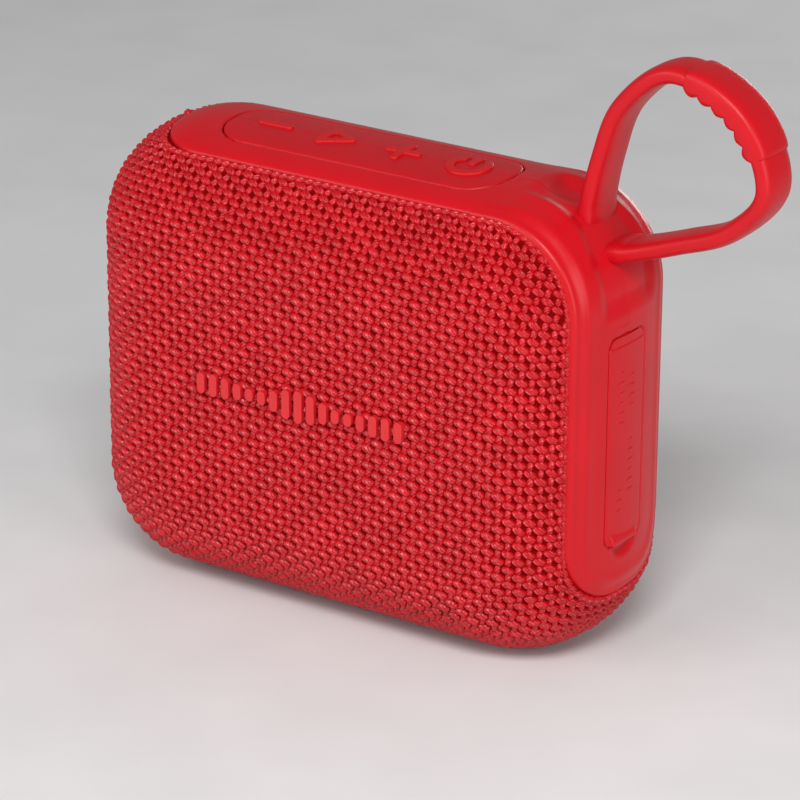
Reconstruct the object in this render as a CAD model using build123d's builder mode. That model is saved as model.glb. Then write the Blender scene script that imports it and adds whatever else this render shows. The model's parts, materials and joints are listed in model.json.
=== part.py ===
"""A palm-sized portable loudspeaker: knitted cover, silicone trim, rubber keys and a corner strap.

Frame: X to the right, -Y out of the front, +Z up. The origin is the middle of the foot's underside.
"""
from build123d import *
from math import cos, hypot, pi, sin, sqrt
import os

os.makedirs("parts", exist_ok=True)

# ---------------------------------------------------------------- driving dimensions (mm)
width = 96.0                      # X, over the cover
height = 78.0                     # Z, over the cover
depth = 40.0                      # Y, over the cover
corner_radius = 16.5              # of the outline seen from the front
front_crown = (19.7, 23.9, 2.64)  # how far the front draws in, over what run, and the curve's power
back_crown = (10.0, 18.5, 2.1)
stations = (-20, -19.3, -17.8, -15, -11, -6, 0, 6, 11, 15, 18, 19.5, 20)

cover_inner = 1.3                 # depths below the outer form
housing_outer = 1.4
housing_inner = 3.4
trim_inner = 1.9
trim_seat = 2.0
split_y = 10.0                    # where the rear housing meets the front one

trim_half_width = 12.9
trim_centre_y = 1.0               # the band sits a little behind the middle
trim_end_radius = 10.0
trim_start_x = -37.3
trim_low_z = 12.5
edge_gap = 0.2

half_width = width / 2
half_depth = depth / 2
mid_z = height / 2
corner_x = half_width - corner_radius
corner_z = height - corner_radius

driver_x = -13.0
driver_z = mid_z
radiator_x = -10.0
key_centre_x = -0.7


# ---------------------------------------------------------------- the body's outer form
def inset(y):
    """How far the outline has drawn in at a distance y behind (+) or before (-) the middle."""
    edge_inset, run, power = front_crown if y < 0 else back_crown
    along = max(0.0, (abs(y) - (half_depth - run)) / run)
    return edge_inset * (1 - (1 - along**power) ** (1 / power))


def body_form(below):
    """The body's outer form, drawn in by below on every side."""
    with BuildPart() as form:
        for y in stations:
            drawn_in = inset(y) + below
            share = inset(y) / front_crown[0]
            radius = corner_radius * (1 - 0.6 * share) - 0.9 * below
            with BuildSketch(Plane.XZ.offset(-y * (half_depth - below) / half_depth)):
                with Locations((0, mid_z)):
                    RectangleRounded(width - 2 * drawn_in, height - 2 * drawn_in, radius)
        loft()
    return form.part


def panel(x, z, wide, high, radius, y):
    """A rounded rectangle standing at y, centred on x, z."""
    with BuildSketch(Plane.XZ.offset(-y)) as outline:
        with Locations((x, z)):
            RectangleRounded(wide, high, radius)
    return outline.sketch


def discs(points, radius, y):
    """Discs of one radius standing at y, centred on the x, z points."""
    with BuildSketch(Plane.XZ.offset(-y)) as outline:
        with Locations(*points):
            Circle(radius)
    return outline.sketch


def lying_panel(x, y, long, wide, radius, z):
    """A rounded rectangle lying at z, centred on x, y."""
    with BuildSketch(Plane.XY.offset(z)) as outline:
        with Locations((x, y)):
            RectangleRounded(long, wide, radius)
    return outline.sketch


def side_panel(y, z, wide, high, radius, x):
    """A rounded rectangle in the YZ plane at x, centred on y, z."""
    with BuildSketch(Plane.YZ.offset(x)) as outline:
        with Locations((y, z)):
            RectangleRounded(wide, high, radius)
    return outline.sketch


def block(x, y, z):
    """A box between three pairs of limits."""
    with BuildPart() as piece:
        with Locations(((x[0] + x[1]) / 2, (y[0] + y[1]) / 2, (z[0] + z[1]) / 2)):
            Box(x[1] - x[0], y[1] - y[0], z[1] - z[0])
    return piece.part


def trim_region(grow):
    """The space of the trim band: over the top, round one corner and down the side."""
    half = trim_half_width + grow
    end_radius = trim_end_radius + grow
    left = trim_start_x - grow
    low = trim_low_z - grow
    with BuildPart() as region:
        with BuildSketch(Plane.XY.offset(corner_z)) as over_top:
            with Locations(((left + width) / 2, trim_centre_y)):
                Rectangle(width - left, 2 * half)
            fillet(over_top.vertices().group_by(Axis.X)[0], end_radius)
        extrude(amount=height)
        with BuildSketch(Plane.YZ.offset(corner_x)) as down_side:
            with Locations((trim_centre_y, (low + 1.5 * height) / 2)):
                Rectangle(2 * half, 1.5 * height - low)
            fillet(down_side.vertices().group_by(Axis.Y)[0], end_radius)
        extrude(amount=height)
    return region.part


form_outer = body_form(0)
form_cover_inner = body_form(cover_inner)
form_housing = body_form(housing_outer)
form_trim_inner = body_form(trim_inner)
form_trim_seat = body_form(trim_seat)
form_cavity = body_form(housing_inner)
form_saddle = body_form(0.9)
form_glyph_top = body_form(-0.45)
form_glyph_foot = body_form(0.45)
form_pocket = body_form(0.9)

# ---------------------------------------------------------------- the strap's tunnel
strap_half_thickness = 1.3
strap_half_width = 3.3
tunnel_gap = 0.3
strap_top_x = 41.3                # where the upper leg crosses the corner, as its middle line
mirror_shift = height - half_width - 2.0   # z = x + this is the corner's line of symmetry
bridge_x = strap_top_x + strap_half_thickness + tunnel_gap
bridge_z = bridge_x + mirror_shift
tunnel_x = strap_top_x - strap_half_thickness - tunnel_gap


def tunnel(half_y, inner_x, outer_x, inner_radius, outer_radius):
    """An L-shaped passage under the corner bridge, between two x limits and their mirror images."""
    far = width
    points = [
        (outer_x, far),
        (outer_x, outer_x + mirror_shift),
        (far - mirror_shift, outer_x + mirror_shift),
        (far - mirror_shift, inner_x + mirror_shift),
        (inner_x, inner_x + mirror_shift),
        (inner_x, far),
    ]
    with BuildPart() as passage:
        with BuildSketch(Plane.XZ.offset(half_y)) as section:
            with BuildLine():
                Polyline(*points, close=True)
            make_face()
            corners = section.vertices().sort_by(lambda v: v.X + v.Y)
            fillet(corners[0], outer_radius)
            inner_corner = section.vertices().sort_by_distance((inner_x, inner_x + mirror_shift))[0]
            fillet(inner_corner, inner_radius)
        extrude(amount=-2 * half_y)
    return passage.part


# ---------------------------------------------------------------- the cover and the trim
foot_length = 68.0
foot_width = 13.0
foot_radius = 5.0
key_pad_length = 53.8
key_pad_width = 14.6
key_pad_radius = 6.2
pad_gap = 0.3
port_y = 0.1                      # the port cover's middle
port_width = 9.4
port_low_z = 21.0
port_high_z = 56.1
port_mid_z = (port_low_z + port_high_z) / 2
saddle_half_width = 8.0
saddle_start_x = 31.0
saddle_low_z = 58.5
mouth_half_width = 4.6

with BuildPart() as key_pad_space:
    extrude(
        lying_panel(
            key_centre_x, 0, key_pad_length + 2 * pad_gap, key_pad_width + 2 * pad_gap,
            key_pad_radius + pad_gap, corner_z,
        ),
        amount=height,
    )

with BuildPart() as port_space:
    extrude(
        side_panel(port_y, port_mid_z, port_width + 0.6, port_high_z - port_low_z + 0.6, 2.0, corner_x),
        amount=height,
    )

with BuildPart() as foot_space:
    extrude(
        lying_panel(0, 0, foot_length + 2 * pad_gap, foot_width + 2 * pad_gap, foot_radius + pad_gap, -1),
        amount=corner_radius,
    )

with BuildPart() as trim_seat_space:
    add(form_outer)
    add(form_trim_seat, mode=Mode.SUBTRACT)
    add(trim_region(edge_gap), mode=Mode.INTERSECT)

with BuildPart() as foot_seat_space:
    add(foot_space.part)
    add(form_trim_seat, mode=Mode.SUBTRACT)

with BuildPart() as fabric_cover:
    add(form_outer)
    add(form_cover_inner, mode=Mode.SUBTRACT)
    add(trim_region(edge_gap), mode=Mode.SUBTRACT)
    add(foot_space.part, mode=Mode.SUBTRACT)

# Relief beside each leg's root, so that the strap can lean: a sloped scoop and its mirror image.
mouth_points = [(34.5, 2 * height), (34.5, 76.8), (38.4, 72.6), (bridge_x, 72.6), (bridge_x, 2 * height)]
mouth_mirror = [(z - mirror_shift, x + mirror_shift) for x, z in mouth_points]
with BuildPart() as strap_mouths:
    for outline in (mouth_points, mouth_mirror):
        with BuildSketch(Plane.XZ.offset(mouth_half_width)):
            with BuildLine():
                Polyline(*outline, close=True)
            make_face()
        extrude(amount=-2 * mouth_half_width)

strap_tunnel = tunnel(strap_half_width + 0.35, bridge_x, tunnel_x, 0.6, 2.0)

# The saddle is a shallow recess along the band on both sides of the bridge between the legs.
with BuildPart() as saddle_space:
    with BuildSketch(Plane.XZ.offset(saddle_half_width)):
        with Locations(((saddle_start_x + bridge_x) / 2, height)):
            Rectangle(bridge_x - saddle_start_x, corner_radius)
        with Locations((half_width, (saddle_low_z + bridge_z) / 2)):
            Rectangle(corner_radius, bridge_z - saddle_low_z)
    extrude(amount=-2 * saddle_half_width)
    fillet(saddle_space.edges().filter_by(Axis.Z).group_by(Axis.X)[0], 4.0)
    fillet(saddle_space.edges().filter_by(Axis.X).group_by(Axis.Z)[0], 4.0)
    add(form_saddle, mode=Mode.SUBTRACT)

with BuildPart() as trim_band:
    add(form_outer)
    add(form_trim_inner, mode=Mode.SUBTRACT)
    add(trim_region(0), mode=Mode.INTERSECT)
    add(saddle_space.part, mode=Mode.SUBTRACT)
    add(strap_mouths.part, mode=Mode.SUBTRACT)
    add(strap_tunnel, mode=Mode.SUBTRACT)
    add(key_pad_space.part, mode=Mode.SUBTRACT)
    add(port_space.part, mode=Mode.SUBTRACT)

with BuildPart() as foot_pad:
    extrude(lying_panel(0, 0, foot_length, foot_width, foot_radius, 0), amount=corner_radius)
    add(form_trim_inner, mode=Mode.SUBTRACT)

# ---------------------------------------------------------------- the badge: a row of raised bars
badge_bars = 17
badge_length = 40.0
badge_height = 5.5
bar_width = 1.5
badge_z = 39.5
badge_relief = 0.8
bar_pitch = (badge_length - bar_width) / (badge_bars - 1)


def bar_height(number):
    """A bar's height along the badge: a wave that swells towards the middle."""
    phase = pi * number / (badge_bars - 1)
    return badge_height * (0.64 + 0.36 * sin(phase) * cos(4 * phase))


with BuildPart() as front_badge:
    with BuildSketch(Plane.XZ.offset(half_depth)):
        for number in range(badge_bars):
            with Locations((key_centre_x + (number - (badge_bars - 1) / 2) * bar_pitch, badge_z)):
                RectangleRounded(bar_width, bar_height(number) + 0.02, bar_width / 2 - 0.01)
    extrude(amount=badge_relief)

# ---------------------------------------------------------------- housing
screw_points = [(-39.6, 11.3), (-39.6, 66.7), (39.6, 11.3), (41.0, 58.0)]
screw_seat_y = 12.2
board_y = 1.7
board_thickness = 1.2
board_points = [(10.8, 16.0), (10.8, 52.0), (41.3, 16.0), (41.3, 52.0)]
key_board_z = 72.3                # its top face
key_board_points = [(-26.2, 0.0), (24.8, 0.0)]
driver_screw_offset = 15.2
driver_points = [
    (driver_x + i * driver_screw_offset, driver_z + j * driver_screw_offset)
    for i in (-1, 1) for j in (-1, 1)
]
flange_radius = 23.0
grille_pitch = 3.2
grille_hole = 1.1
usb_z = 34.0
anchor_z = 55.4
port_hinge_z = 54.6
seal_outer = 2.4
seal_inner = 3.0
seal_depth = 0.7

grille_points = [
    (driver_x + (column + 0.5 * (row % 2)) * grille_pitch, driver_z + row * grille_pitch * sqrt(3) / 2)
    for row in range(-5, 6) for column in range(-6, 7)
    if hypot((column + 0.5 * (row % 2)) * grille_pitch, row * grille_pitch * sqrt(3) / 2) < 15.6
]


def rim_outline(y, below):
    """The body's outline at y, drawn in by below."""
    drawn_in = inset(y * half_depth / (half_depth - below)) + below
    radius = corner_radius - 0.9 * below
    return panel(0, mid_z, width - 2 * drawn_in, height - 2 * drawn_in, radius, y)


with BuildPart() as front_fittings:
    extrude(discs([(driver_x, driver_z)], 24.0, -18.0), amount=-3.5)
    extrude(discs([(driver_x, driver_z)], 19.5, -18.2), amount=-4.0, mode=Mode.SUBTRACT)
    extrude(discs(screw_points, 2.6, -18.0), amount=-18.0 - split_y)
    extrude(discs(board_points, 1.8, -18.0), amount=-18.0 - board_y)
    for z in (20.0, 50.0):
        add(block((14.0, 38.0), (-18.0, -11.0), (z - 0.8, z + 0.8)))
    add(block((37.2, 50.0), (-6.2, 6.2), (65.2, 80.0)))
    with BuildSketch(Plane.XY.offset(key_board_z)):
        with Locations(*key_board_points):
            Circle(1.6)
    extrude(amount=corner_radius)
    add(form_trim_seat, mode=Mode.INTERSECT)

with BuildPart() as front_housing:
    add(form_housing)
    add(form_cavity, mode=Mode.SUBTRACT)
    add(block((-60, 60), (split_y, 30), (-10, 90)), mode=Mode.SUBTRACT)
    add(front_fittings.part)
    add(trim_seat_space.part, mode=Mode.SUBTRACT)
    add(foot_seat_space.part, mode=Mode.SUBTRACT)
    add(strap_tunnel, mode=Mode.SUBTRACT)
    add(strap_mouths.part, mode=Mode.SUBTRACT)
    extrude(discs(grille_points, grille_hole, -21.0), amount=-7.0, mode=Mode.SUBTRACT)
    extrude(discs(screw_points, 1.02, split_y), amount=8.0, mode=Mode.SUBTRACT)
    extrude(discs(board_points, 0.82, board_y), amount=6.0, mode=Mode.SUBTRACT)
    extrude(discs(driver_points, 1.02, -14.5), amount=2.6, mode=Mode.SUBTRACT)
    with BuildSketch(Plane.XY.offset(key_board_z)):
        with Locations(*key_board_points):
            Circle(0.82)
    extrude(amount=2.4, mode=Mode.SUBTRACT)
    extrude(lying_panel(key_centre_x, 0, 46.0, 8.0, 3.0, 71.0), amount=10, mode=Mode.SUBTRACT)
    extrude(side_panel(0, usb_z, 4.2, 10.2, 2.0, 43.0), amount=10, mode=Mode.SUBTRACT)
    extrude(side_panel(0, anchor_z, 6.4, 1.3, 0.3, 43.0), amount=10, mode=Mode.SUBTRACT)
    extrude(rim_outline(split_y, seal_outer) - rim_outline(split_y, seal_inner),
            amount=seal_depth, mode=Mode.SUBTRACT)

radiator_wide = 48.0
radiator_high = 36.0
radiator_corner = 9.0
radiator_seat_y = 14.2
radiator_screw_points = [(radiator_x + i * 22.5, mid_z + j * 8.0) for i in (-1, 1) for j in (-1, 1)]
slot_count = 9
slot_pitch = 4.4

with BuildPart() as rear_fittings:
    extrude(discs(screw_points, 3.1, split_y), amount=-9.0)
    extrude(panel(radiator_x, mid_z, radiator_wide, radiator_high, radiator_corner, radiator_seat_y),
            amount=-4.0)
    extrude(panel(radiator_x, mid_z, radiator_wide - 6, radiator_high - 6, radiator_corner - 3, 13.0),
            amount=-6.0, mode=Mode.SUBTRACT)
    add(form_trim_seat, mode=Mode.INTERSECT)

with BuildPart() as rear_housing:
    add(form_housing)
    add(form_cavity, mode=Mode.SUBTRACT)
    add(block((-60, 60), (-30, split_y), (-10, 90)), mode=Mode.SUBTRACT)
    add(rear_fittings.part)
    add(trim_seat_space.part, mode=Mode.SUBTRACT)
    extrude(discs(screw_points, 1.15, 9.0), amount=-12.0, mode=Mode.SUBTRACT)
    extrude(discs(radiator_screw_points, 0.82, 13.0), amount=-4.0, mode=Mode.SUBTRACT)
    extrude(discs(screw_points, 2.2, screw_seat_y), amount=-8.0, mode=Mode.SUBTRACT)
    with BuildSketch(Plane.XZ.offset(-15.5)):
        with Locations((radiator_x, mid_z)):
            with GridLocations(slot_pitch, 0, slot_count, 1):
                SlotOverall(26.0, 2.4, rotation=90)
    extrude(amount=-6.0, mode=Mode.SUBTRACT)

with BuildPart() as housing_seal:
    extrude(rim_outline(split_y, seal_outer + 0.03) - rim_outline(split_y, seal_inner - 0.03),
            amount=seal_depth)

with BuildPart() as housing_screws:
    extrude(discs(screw_points, 1.0, 3.0), amount=3.0 - screw_seat_y)
    extrude(discs(screw_points, 1.9, screw_seat_y), amount=-1.3)
    extrude(discs(screw_points, 0.6, screw_seat_y + 0.7), amount=-2.0, mode=Mode.SUBTRACT)

# ---------------------------------------------------------------- keypad
key_stroke = 1.35
glyph_z = 70.0                    # the sketches lie inside the body and are extruded out of it
glyph_reach = 14.0
pocket_gap = 0.1
stem_radius = 0.45
plunger_top = 75.2
plunger_low = 74.2
key_places = {"minus": -19.4, "play": -6.93, "plus": 5.53, "power": 18.0}
plunger_radii = {"minus": 2.6, "play": 3.0, "plus": 2.6, "power": 3.7}
stem_places = {
    "minus": [(0, 0)],
    "play": [(-2.22, 0), (2.1, 0)],
    "plus": [(0, 0)],
    "power": [(-3.0, -1.1), (3.0, -1.1), (0, 1.6)],
}


def glyph(kind, grow):
    """A key's raised mark, grown on every side by grow."""
    with BuildSketch(Plane.XY.offset(glyph_z)) as mark:
        with Locations((key_places[kind], 0)):
            if kind in ("minus", "plus"):
                RectangleRounded(6.7 + 2 * grow, key_stroke + 2 * grow, 0.5 + grow)
            if kind == "plus":
                RectangleRounded(key_stroke + 2 * grow, 6.5 + 2 * grow, 0.5 + grow)
            if kind == "play":
                add(play_triangle(0.2 + grow))
                add(play_triangle(0.2 - key_stroke - grow), mode=Mode.SUBTRACT)
            if kind == "power":
                Circle(3.85 + grow)
                Circle(3.85 - key_stroke - grow, mode=Mode.SUBTRACT)
        if kind == "power":
            with Locations((key_places[kind], 3.0)):
                Rectangle(3.4 - 2 * grow, 3.4, mode=Mode.SUBTRACT)
            with Locations((key_places[kind], 2.2)):
                RectangleRounded(key_stroke + 2 * grow, 3.8 + 2 * grow, 0.5 + grow)
    return mark.sketch


def play_triangle(grow):
    """The play mark's triangle, pointing to the right, grown by grow."""
    back, tip, half = -2.7, 3.5, 3.4
    slope = hypot(tip - back, half)
    lean = grow * slope / half
    x_back = back - grow
    x_tip = tip + lean
    half_back = half * (x_tip - x_back) / (tip - back)
    with BuildSketch() as triangle:
        with BuildLine():
            Polyline((x_back, -half_back), (x_tip, 0), (x_back, half_back), close=True)
        make_face()
        fillet(triangle.vertices(), max(0.3, 0.5 + grow))
    return triangle.sketch


def upright_discs(points, x, radius, z):
    """Discs lying at z, at x plus each point."""
    with BuildSketch(Plane.XY.offset(z)) as outline:
        with Locations(*[(x + dx, dy) for dx, dy in points]):
            Circle(radius)
    return outline.sketch


with BuildPart() as key_pockets:
    for kind in key_places:
        extrude(glyph(kind, pocket_gap), amount=glyph_reach)
    add(form_pocket, mode=Mode.SUBTRACT)

with BuildPart() as keypad_pad:
    extrude(
        lying_panel(key_centre_x, 0, key_pad_length, key_pad_width, key_pad_radius, glyph_z),
        amount=glyph_reach,
    )
    add(form_outer, mode=Mode.INTERSECT)
    add(form_trim_inner, mode=Mode.SUBTRACT)
    add(key_pockets.part, mode=Mode.SUBTRACT)
    for kind, x in key_places.items():
        extrude(upright_discs(stem_places[kind], x, stem_radius + 0.12, glyph_z),
                amount=glyph_reach, mode=Mode.SUBTRACT)

keys = {}
for kind, x in key_places.items():
    with BuildPart() as key:
        extrude(glyph(kind, 0), amount=glyph_reach)
        add(form_glyph_top, mode=Mode.INTERSECT)
        add(form_glyph_foot, mode=Mode.SUBTRACT)
        extrude(upright_discs(stem_places[kind], x, stem_radius, plunger_top), amount=2.45)
        extrude(upright_discs([(0, 0)], x, plunger_radii[kind], plunger_low),
                amount=plunger_top - plunger_low)
    keys[kind] = key

switch_height = 1.1
with BuildPart() as key_board:
    extrude(lying_panel(key_centre_x, 0, 56.0, 11.0, 1.5, key_board_z), amount=-1.0)
    with BuildSketch(Plane.XY.offset(key_board_z)):
        with Locations(*key_board_points):
            Circle(0.9)
    extrude(amount=-1.0, mode=Mode.SUBTRACT)

with BuildPart() as key_switches:
    for x in key_places.values():
        extrude(lying_panel(x, 0, 4.0, 3.0, 0.3, key_board_z), amount=switch_height)
        extrude(upright_discs([(0, 0)], x, 0.9, key_board_z + switch_height), amount=0.35)

with BuildPart() as key_board_screws:
    for x, y in key_board_points:
        extrude(upright_discs([(0, y)], x, 0.8, key_board_z - 1.0), amount=3.2)
        extrude(upright_discs([(0, y)], x, 1.5, key_board_z - 1.8), amount=0.8)

# ---------------------------------------------------------------- driver, turned about its own axis
driver_plane = Plane(origin=(driver_x, 0, driver_z), x_dir=(1, 0, 0), z_dir=(0, 0, 1))
driver_axis = Axis((driver_x, 0, driver_z), (0, 1, 0))
flange_front = -13.5
flange_back = -12.3
coil_radius = 6.6


def turned(points):
    """A closed outline of (radius, y) points on the driver's plane."""
    with BuildSketch(driver_plane) as outline:
        with BuildLine():
            Polyline(*points, close=True)
        make_face()
    return outline.sketch


with BuildPart() as driver_basket:
    revolve(
        turned([
            (19.0, flange_front), (flange_radius, flange_front), (flange_radius, flange_back),
            (19.8, flange_back), (18.2, -9.0), (14.6, -6.2), (14.6, -3.0), (8.2, -3.0), (8.2, -4.0),
            (13.4, -4.0), (13.4, -6.8), (17.2, -9.6),
        ]),
        axis=driver_axis,
    )
    with BuildSketch(Plane.XZ.offset(11.5)):
        with Locations((driver_x, driver_z)):
            with PolarLocations(16.2, 6):
                Rectangle(2.8, 8.0)
    extrude(amount=-6.0, mode=Mode.SUBTRACT)
    extrude(discs(driver_points, 1.1, flange_front), amount=flange_front - flange_back,
            mode=Mode.SUBTRACT)

with BuildPart() as driver_gasket:
    extrude(discs([(driver_x, driver_z)], flange_radius, -14.45), amount=-0.5)
    extrude(discs([(driver_x, driver_z)], 20.2, -14.45), amount=-0.5, mode=Mode.SUBTRACT)
    extrude(discs(driver_points, 1.1, -14.45), amount=-0.5, mode=Mode.SUBTRACT)

with BuildPart() as driver_surround:
    with BuildSketch(driver_plane):
        with Locations((21.0, -13.7)):
            Rectangle(3.6, 0.36)
        with Locations((16.0, -13.7)):
            Rectangle(1.2, 0.36)
        with BuildLine():
            CenterArc((17.9, -13.7), 1.5, 180, 180)
            Line((16.4, -13.7), (19.4, -13.7))
        make_face()
        with BuildLine():
            CenterArc((17.9, -13.7), 1.14, 180, 180)
            Line((16.76, -13.7), (19.04, -13.7))
        make_face(mode=Mode.SUBTRACT)
    revolve(axis=driver_axis)
    extrude(discs(driver_points, 1.1, -14.0), amount=-1.0, mode=Mode.SUBTRACT)

with BuildPart() as driver_cone:
    revolve(
        turned([
            (coil_radius + 0.1, -8.0), (15.3, -13.4), (16.6, -13.4), (16.6, -13.0), (15.5, -13.0),
            (coil_radius + 0.1, -7.5),
        ]),
        axis=driver_axis,
    )

cap_radius = 10.6
cap_centre_y = -0.3
with BuildPart() as dust_cap:
    with BuildSketch(driver_plane):
        with BuildLine():
            outer = CenterArc((0, cap_centre_y), cap_radius, 270, 40)
            inner = CenterArc((0, cap_centre_y), cap_radius - 0.4, 270, 40)
            Line(outer @ 0, inner @ 0)
            Line(outer @ 1, inner @ 1)
        make_face()
    revolve(axis=driver_axis)

with BuildPart() as voice_coil:
    revolve(
        turned([
            (coil_radius - 0.25, -8.1), (coil_radius, -8.1), (coil_radius, -2.6), (coil_radius + 0.3, -2.6),
            (coil_radius + 0.3, -0.6), (coil_radius - 0.25, -0.6),
        ]),
        axis=driver_axis,
    )

with BuildPart() as spider:
    waves = 4
    pitch = (13.2 - coil_radius - 0.4) / waves
    ridge = [(coil_radius + 0.4 + 0.5 * pitch * i, -5.2 - 0.5 * (i % 2)) for i in range(2 * waves + 1)]
    under = [(radius, y + 0.25) for radius, y in reversed(ridge)]
    revolve(turned(ridge + under), axis=driver_axis)

with BuildPart() as top_plate:
    revolve(turned([(7.3, -2.95), (12.5, -2.95), (12.5, -1.0), (7.3, -1.0)]), axis=driver_axis)

with BuildPart() as driver_magnet:
    revolve(turned([(8.0, -0.95), (13.6, -0.95), (13.6, 3.0), (8.0, 3.0)]), axis=driver_axis)

with BuildPart() as yoke:
    revolve(
        turned([(0, -3.0), (5.9, -3.0), (5.9, 3.05), (12.8, 3.05), (12.8, 4.8), (0, 4.8)]),
        axis=driver_axis,
    )

with BuildPart() as driver_screws:
    extrude(discs(driver_points, 1.0, -16.4), amount=-16.4 - flange_back)
    extrude(discs(driver_points, 1.7, flange_back), amount=-1.1)

# ---------------------------------------------------------------- passive radiator


def radiator_ring(outer_margin, inner_margin, y, thick, rounding):
    """A flat ring round the radiator, between two margins in from its outer edge."""
    with BuildPart() as ring:
        extrude(
            panel(radiator_x, mid_z, radiator_wide - 2 * outer_margin, radiator_high - 2 * outer_margin,
                  radiator_corner - outer_margin, y + thick),
            amount=thick,
        )
        extrude(
            panel(radiator_x, mid_z, radiator_wide - 2 * inner_margin, radiator_high - 2 * inner_margin,
                  max(1.5, radiator_corner - inner_margin), y + thick),
            amount=thick, mode=Mode.SUBTRACT,
        )
        if rounding:
            fillet(ring.faces().sort_by(Axis.Y)[0].edges(), rounding)
    return ring.part


rubber_front = 13.3
rubber_thick = 0.85
roll_front = 12.0
with BuildPart() as radiator_surround:
    add(radiator_ring(0, 3.4, rubber_front, rubber_thick, 0))
    add(radiator_ring(3.3, 7.3, roll_front, rubber_front + rubber_thick - roll_front, 1.4))
    add(radiator_ring(7.2, 10.0, rubber_front, rubber_thick, 0))
    add(radiator_ring(3.9, 6.7, roll_front + 0.5, 3.0, 1.1), mode=Mode.SUBTRACT)
    extrude(discs(radiator_screw_points, 0.9, 15.0), amount=3.0, mode=Mode.SUBTRACT)

with BuildPart() as radiator_plate:
    extrude(panel(radiator_x, mid_z, radiator_wide - 16, radiator_high - 16, 2.0, rubber_front - 0.05),
            amount=1.0)

with BuildPart() as radiator_frame:
    add(radiator_ring(0, 2.9, rubber_front - 1.05, 1.0, 0))
    extrude(discs(radiator_screw_points, 0.9, 14.0), amount=3.0, mode=Mode.SUBTRACT)

with BuildPart() as radiator_screws:
    extrude(discs(radiator_screw_points, 0.8, rubber_front - 1.1), amount=-3.9)
    extrude(discs(radiator_screw_points, 1.4, rubber_front - 1.1), amount=0.8)

# ---------------------------------------------------------------- power and electronics
battery_x = (13.0, 38.0)
battery_y = (-10.0, -2.0)
battery_z = (14.0, 58.0)
with BuildPart() as battery_cell:
    add(block(battery_x, battery_y, battery_z))
    fillet(battery_cell.edges().filter_by(Axis.Z), 3.0)
    fillet(battery_cell.faces().filter_by(Axis.Z).edges(), 0.6)

with BuildPart() as battery_foam:
    add(block((15.0, 37.0), (-10.95, battery_y[0] - 0.02), (16.0, 54.0)))

board_x = (9.0, 43.2)
board_z = (14.2, 54.5)
with BuildPart() as main_board:
    add(block(board_x, (board_y, board_y + board_thickness), board_z))
    extrude(discs(board_points, 0.9, board_y), amount=-board_thickness, mode=Mode.SUBTRACT)

with BuildPart() as main_board_screws:
    extrude(discs(board_points, 0.8, board_y - 4.0), amount=-4.0 - board_thickness)
    extrude(discs(board_points, 1.6, board_y + board_thickness), amount=-1.0)

component_y = board_y + board_thickness
with BuildPart() as bluetooth_module:
    add(block((15.0, 28.0), (component_y, component_y + 2.0), (27.0, 42.0)))
    fillet(bluetooth_module.edges().filter_by(Axis.Y), 0.5)

with BuildPart() as amplifier_chip:
    add(block((31.0, 37.0), (component_y, component_y + 1.0), (32.0, 38.0)))
    fillet(amplifier_chip.faces().sort_by(Axis.Y)[-1].edges(), 0.2)

with BuildPart() as board_capacitors:
    extrude(discs([(33.0, 24.5), (38.5, 24.5)], 2.0, component_y), amount=-4.5)

lead_z = 20.0
battery_lead_x = 33.0
flex_x = 19.0
flex_low_z = 48.5
with BuildPart() as board_connectors:
    add(block((12.5, 16.5), (component_y, component_y + 2.6), (lead_z - 3.0, lead_z + 3.0)))
    add(block((battery_lead_x - 3.0, battery_lead_x + 3.0), (component_y, component_y + 2.6), (46.0, 50.0)))
    add(block((flex_x - 4.0, flex_x + 4.0), (component_y, component_y + 1.5), (45.0, flex_low_z)))

with BuildPart() as usb_c_receptacle:
    extrude(side_panel(0, usb_z, 3.2, 8.94, 1.5, 36.2), amount=7.35)
    extrude(side_panel(0, usb_z, 2.56, 8.34, 1.2, 37.2), amount=7.35, mode=Mode.SUBTRACT)
    extrude(side_panel(0, usb_z, 0.7, 6.7, 0.2, 36.8), amount=5.0)

with BuildPart() as usb_gasket:
    extrude(side_panel(0, usb_z, 6.4, 12.2, 3.0, 43.3), amount=0.8)
    extrude(side_panel(0, usb_z, 3.4, 9.2, 1.55, 42.0), amount=4.0, mode=Mode.SUBTRACT)

lead_radius = 0.45


def lead(points, bend):
    """An insulated wire along straight runs joined by equal bends."""
    with BuildPart() as wire:
        with BuildLine() as path:
            FilletPolyline(*points, radius=bend)
        start = path.edges().sort_by_distance(points[0])[0]
        with BuildSketch(Plane(origin=points[0], z_dir=start.tangent_at(0))):
            Circle(lead_radius)
        sweep(path=path.wire())
    return wire.part


lead_spacing = 1.5
with BuildPart() as driver_leads:
    for shift in (-lead_spacing / 2, lead_spacing / 2):
        add(lead([(4.9 + shift, -8.0, 34.0), (4.9 + shift, -3.4, 34.0), (4.9 + shift, -3.4, lead_z + shift),
                  (4.9 + shift, 4.2, lead_z + shift), (12.4, 4.2, lead_z + shift)], 1.5))

with BuildPart() as battery_leads:
    for shift in (-lead_spacing / 2, lead_spacing / 2):
        x = battery_lead_x + shift
        add(lead([(x, -5.5, 58.1), (x, -5.5, 61.5), (x, 4.2, 61.5), (x, 4.2, 50.1)], 2.0))

with BuildPart() as key_flex:
    with BuildSketch(Plane.YZ.offset(flex_x - 3.0)):
        with BuildLine():
            FilletPolyline((1.0, 71.2), (1.0, 69.0), (6.0, 66.0), (6.0, 54.0), (3.8, 51.5), (3.8, 48.6),
                           radius=1.2)
        trace(line_width=0.25)
    extrude(amount=6.0)

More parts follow.
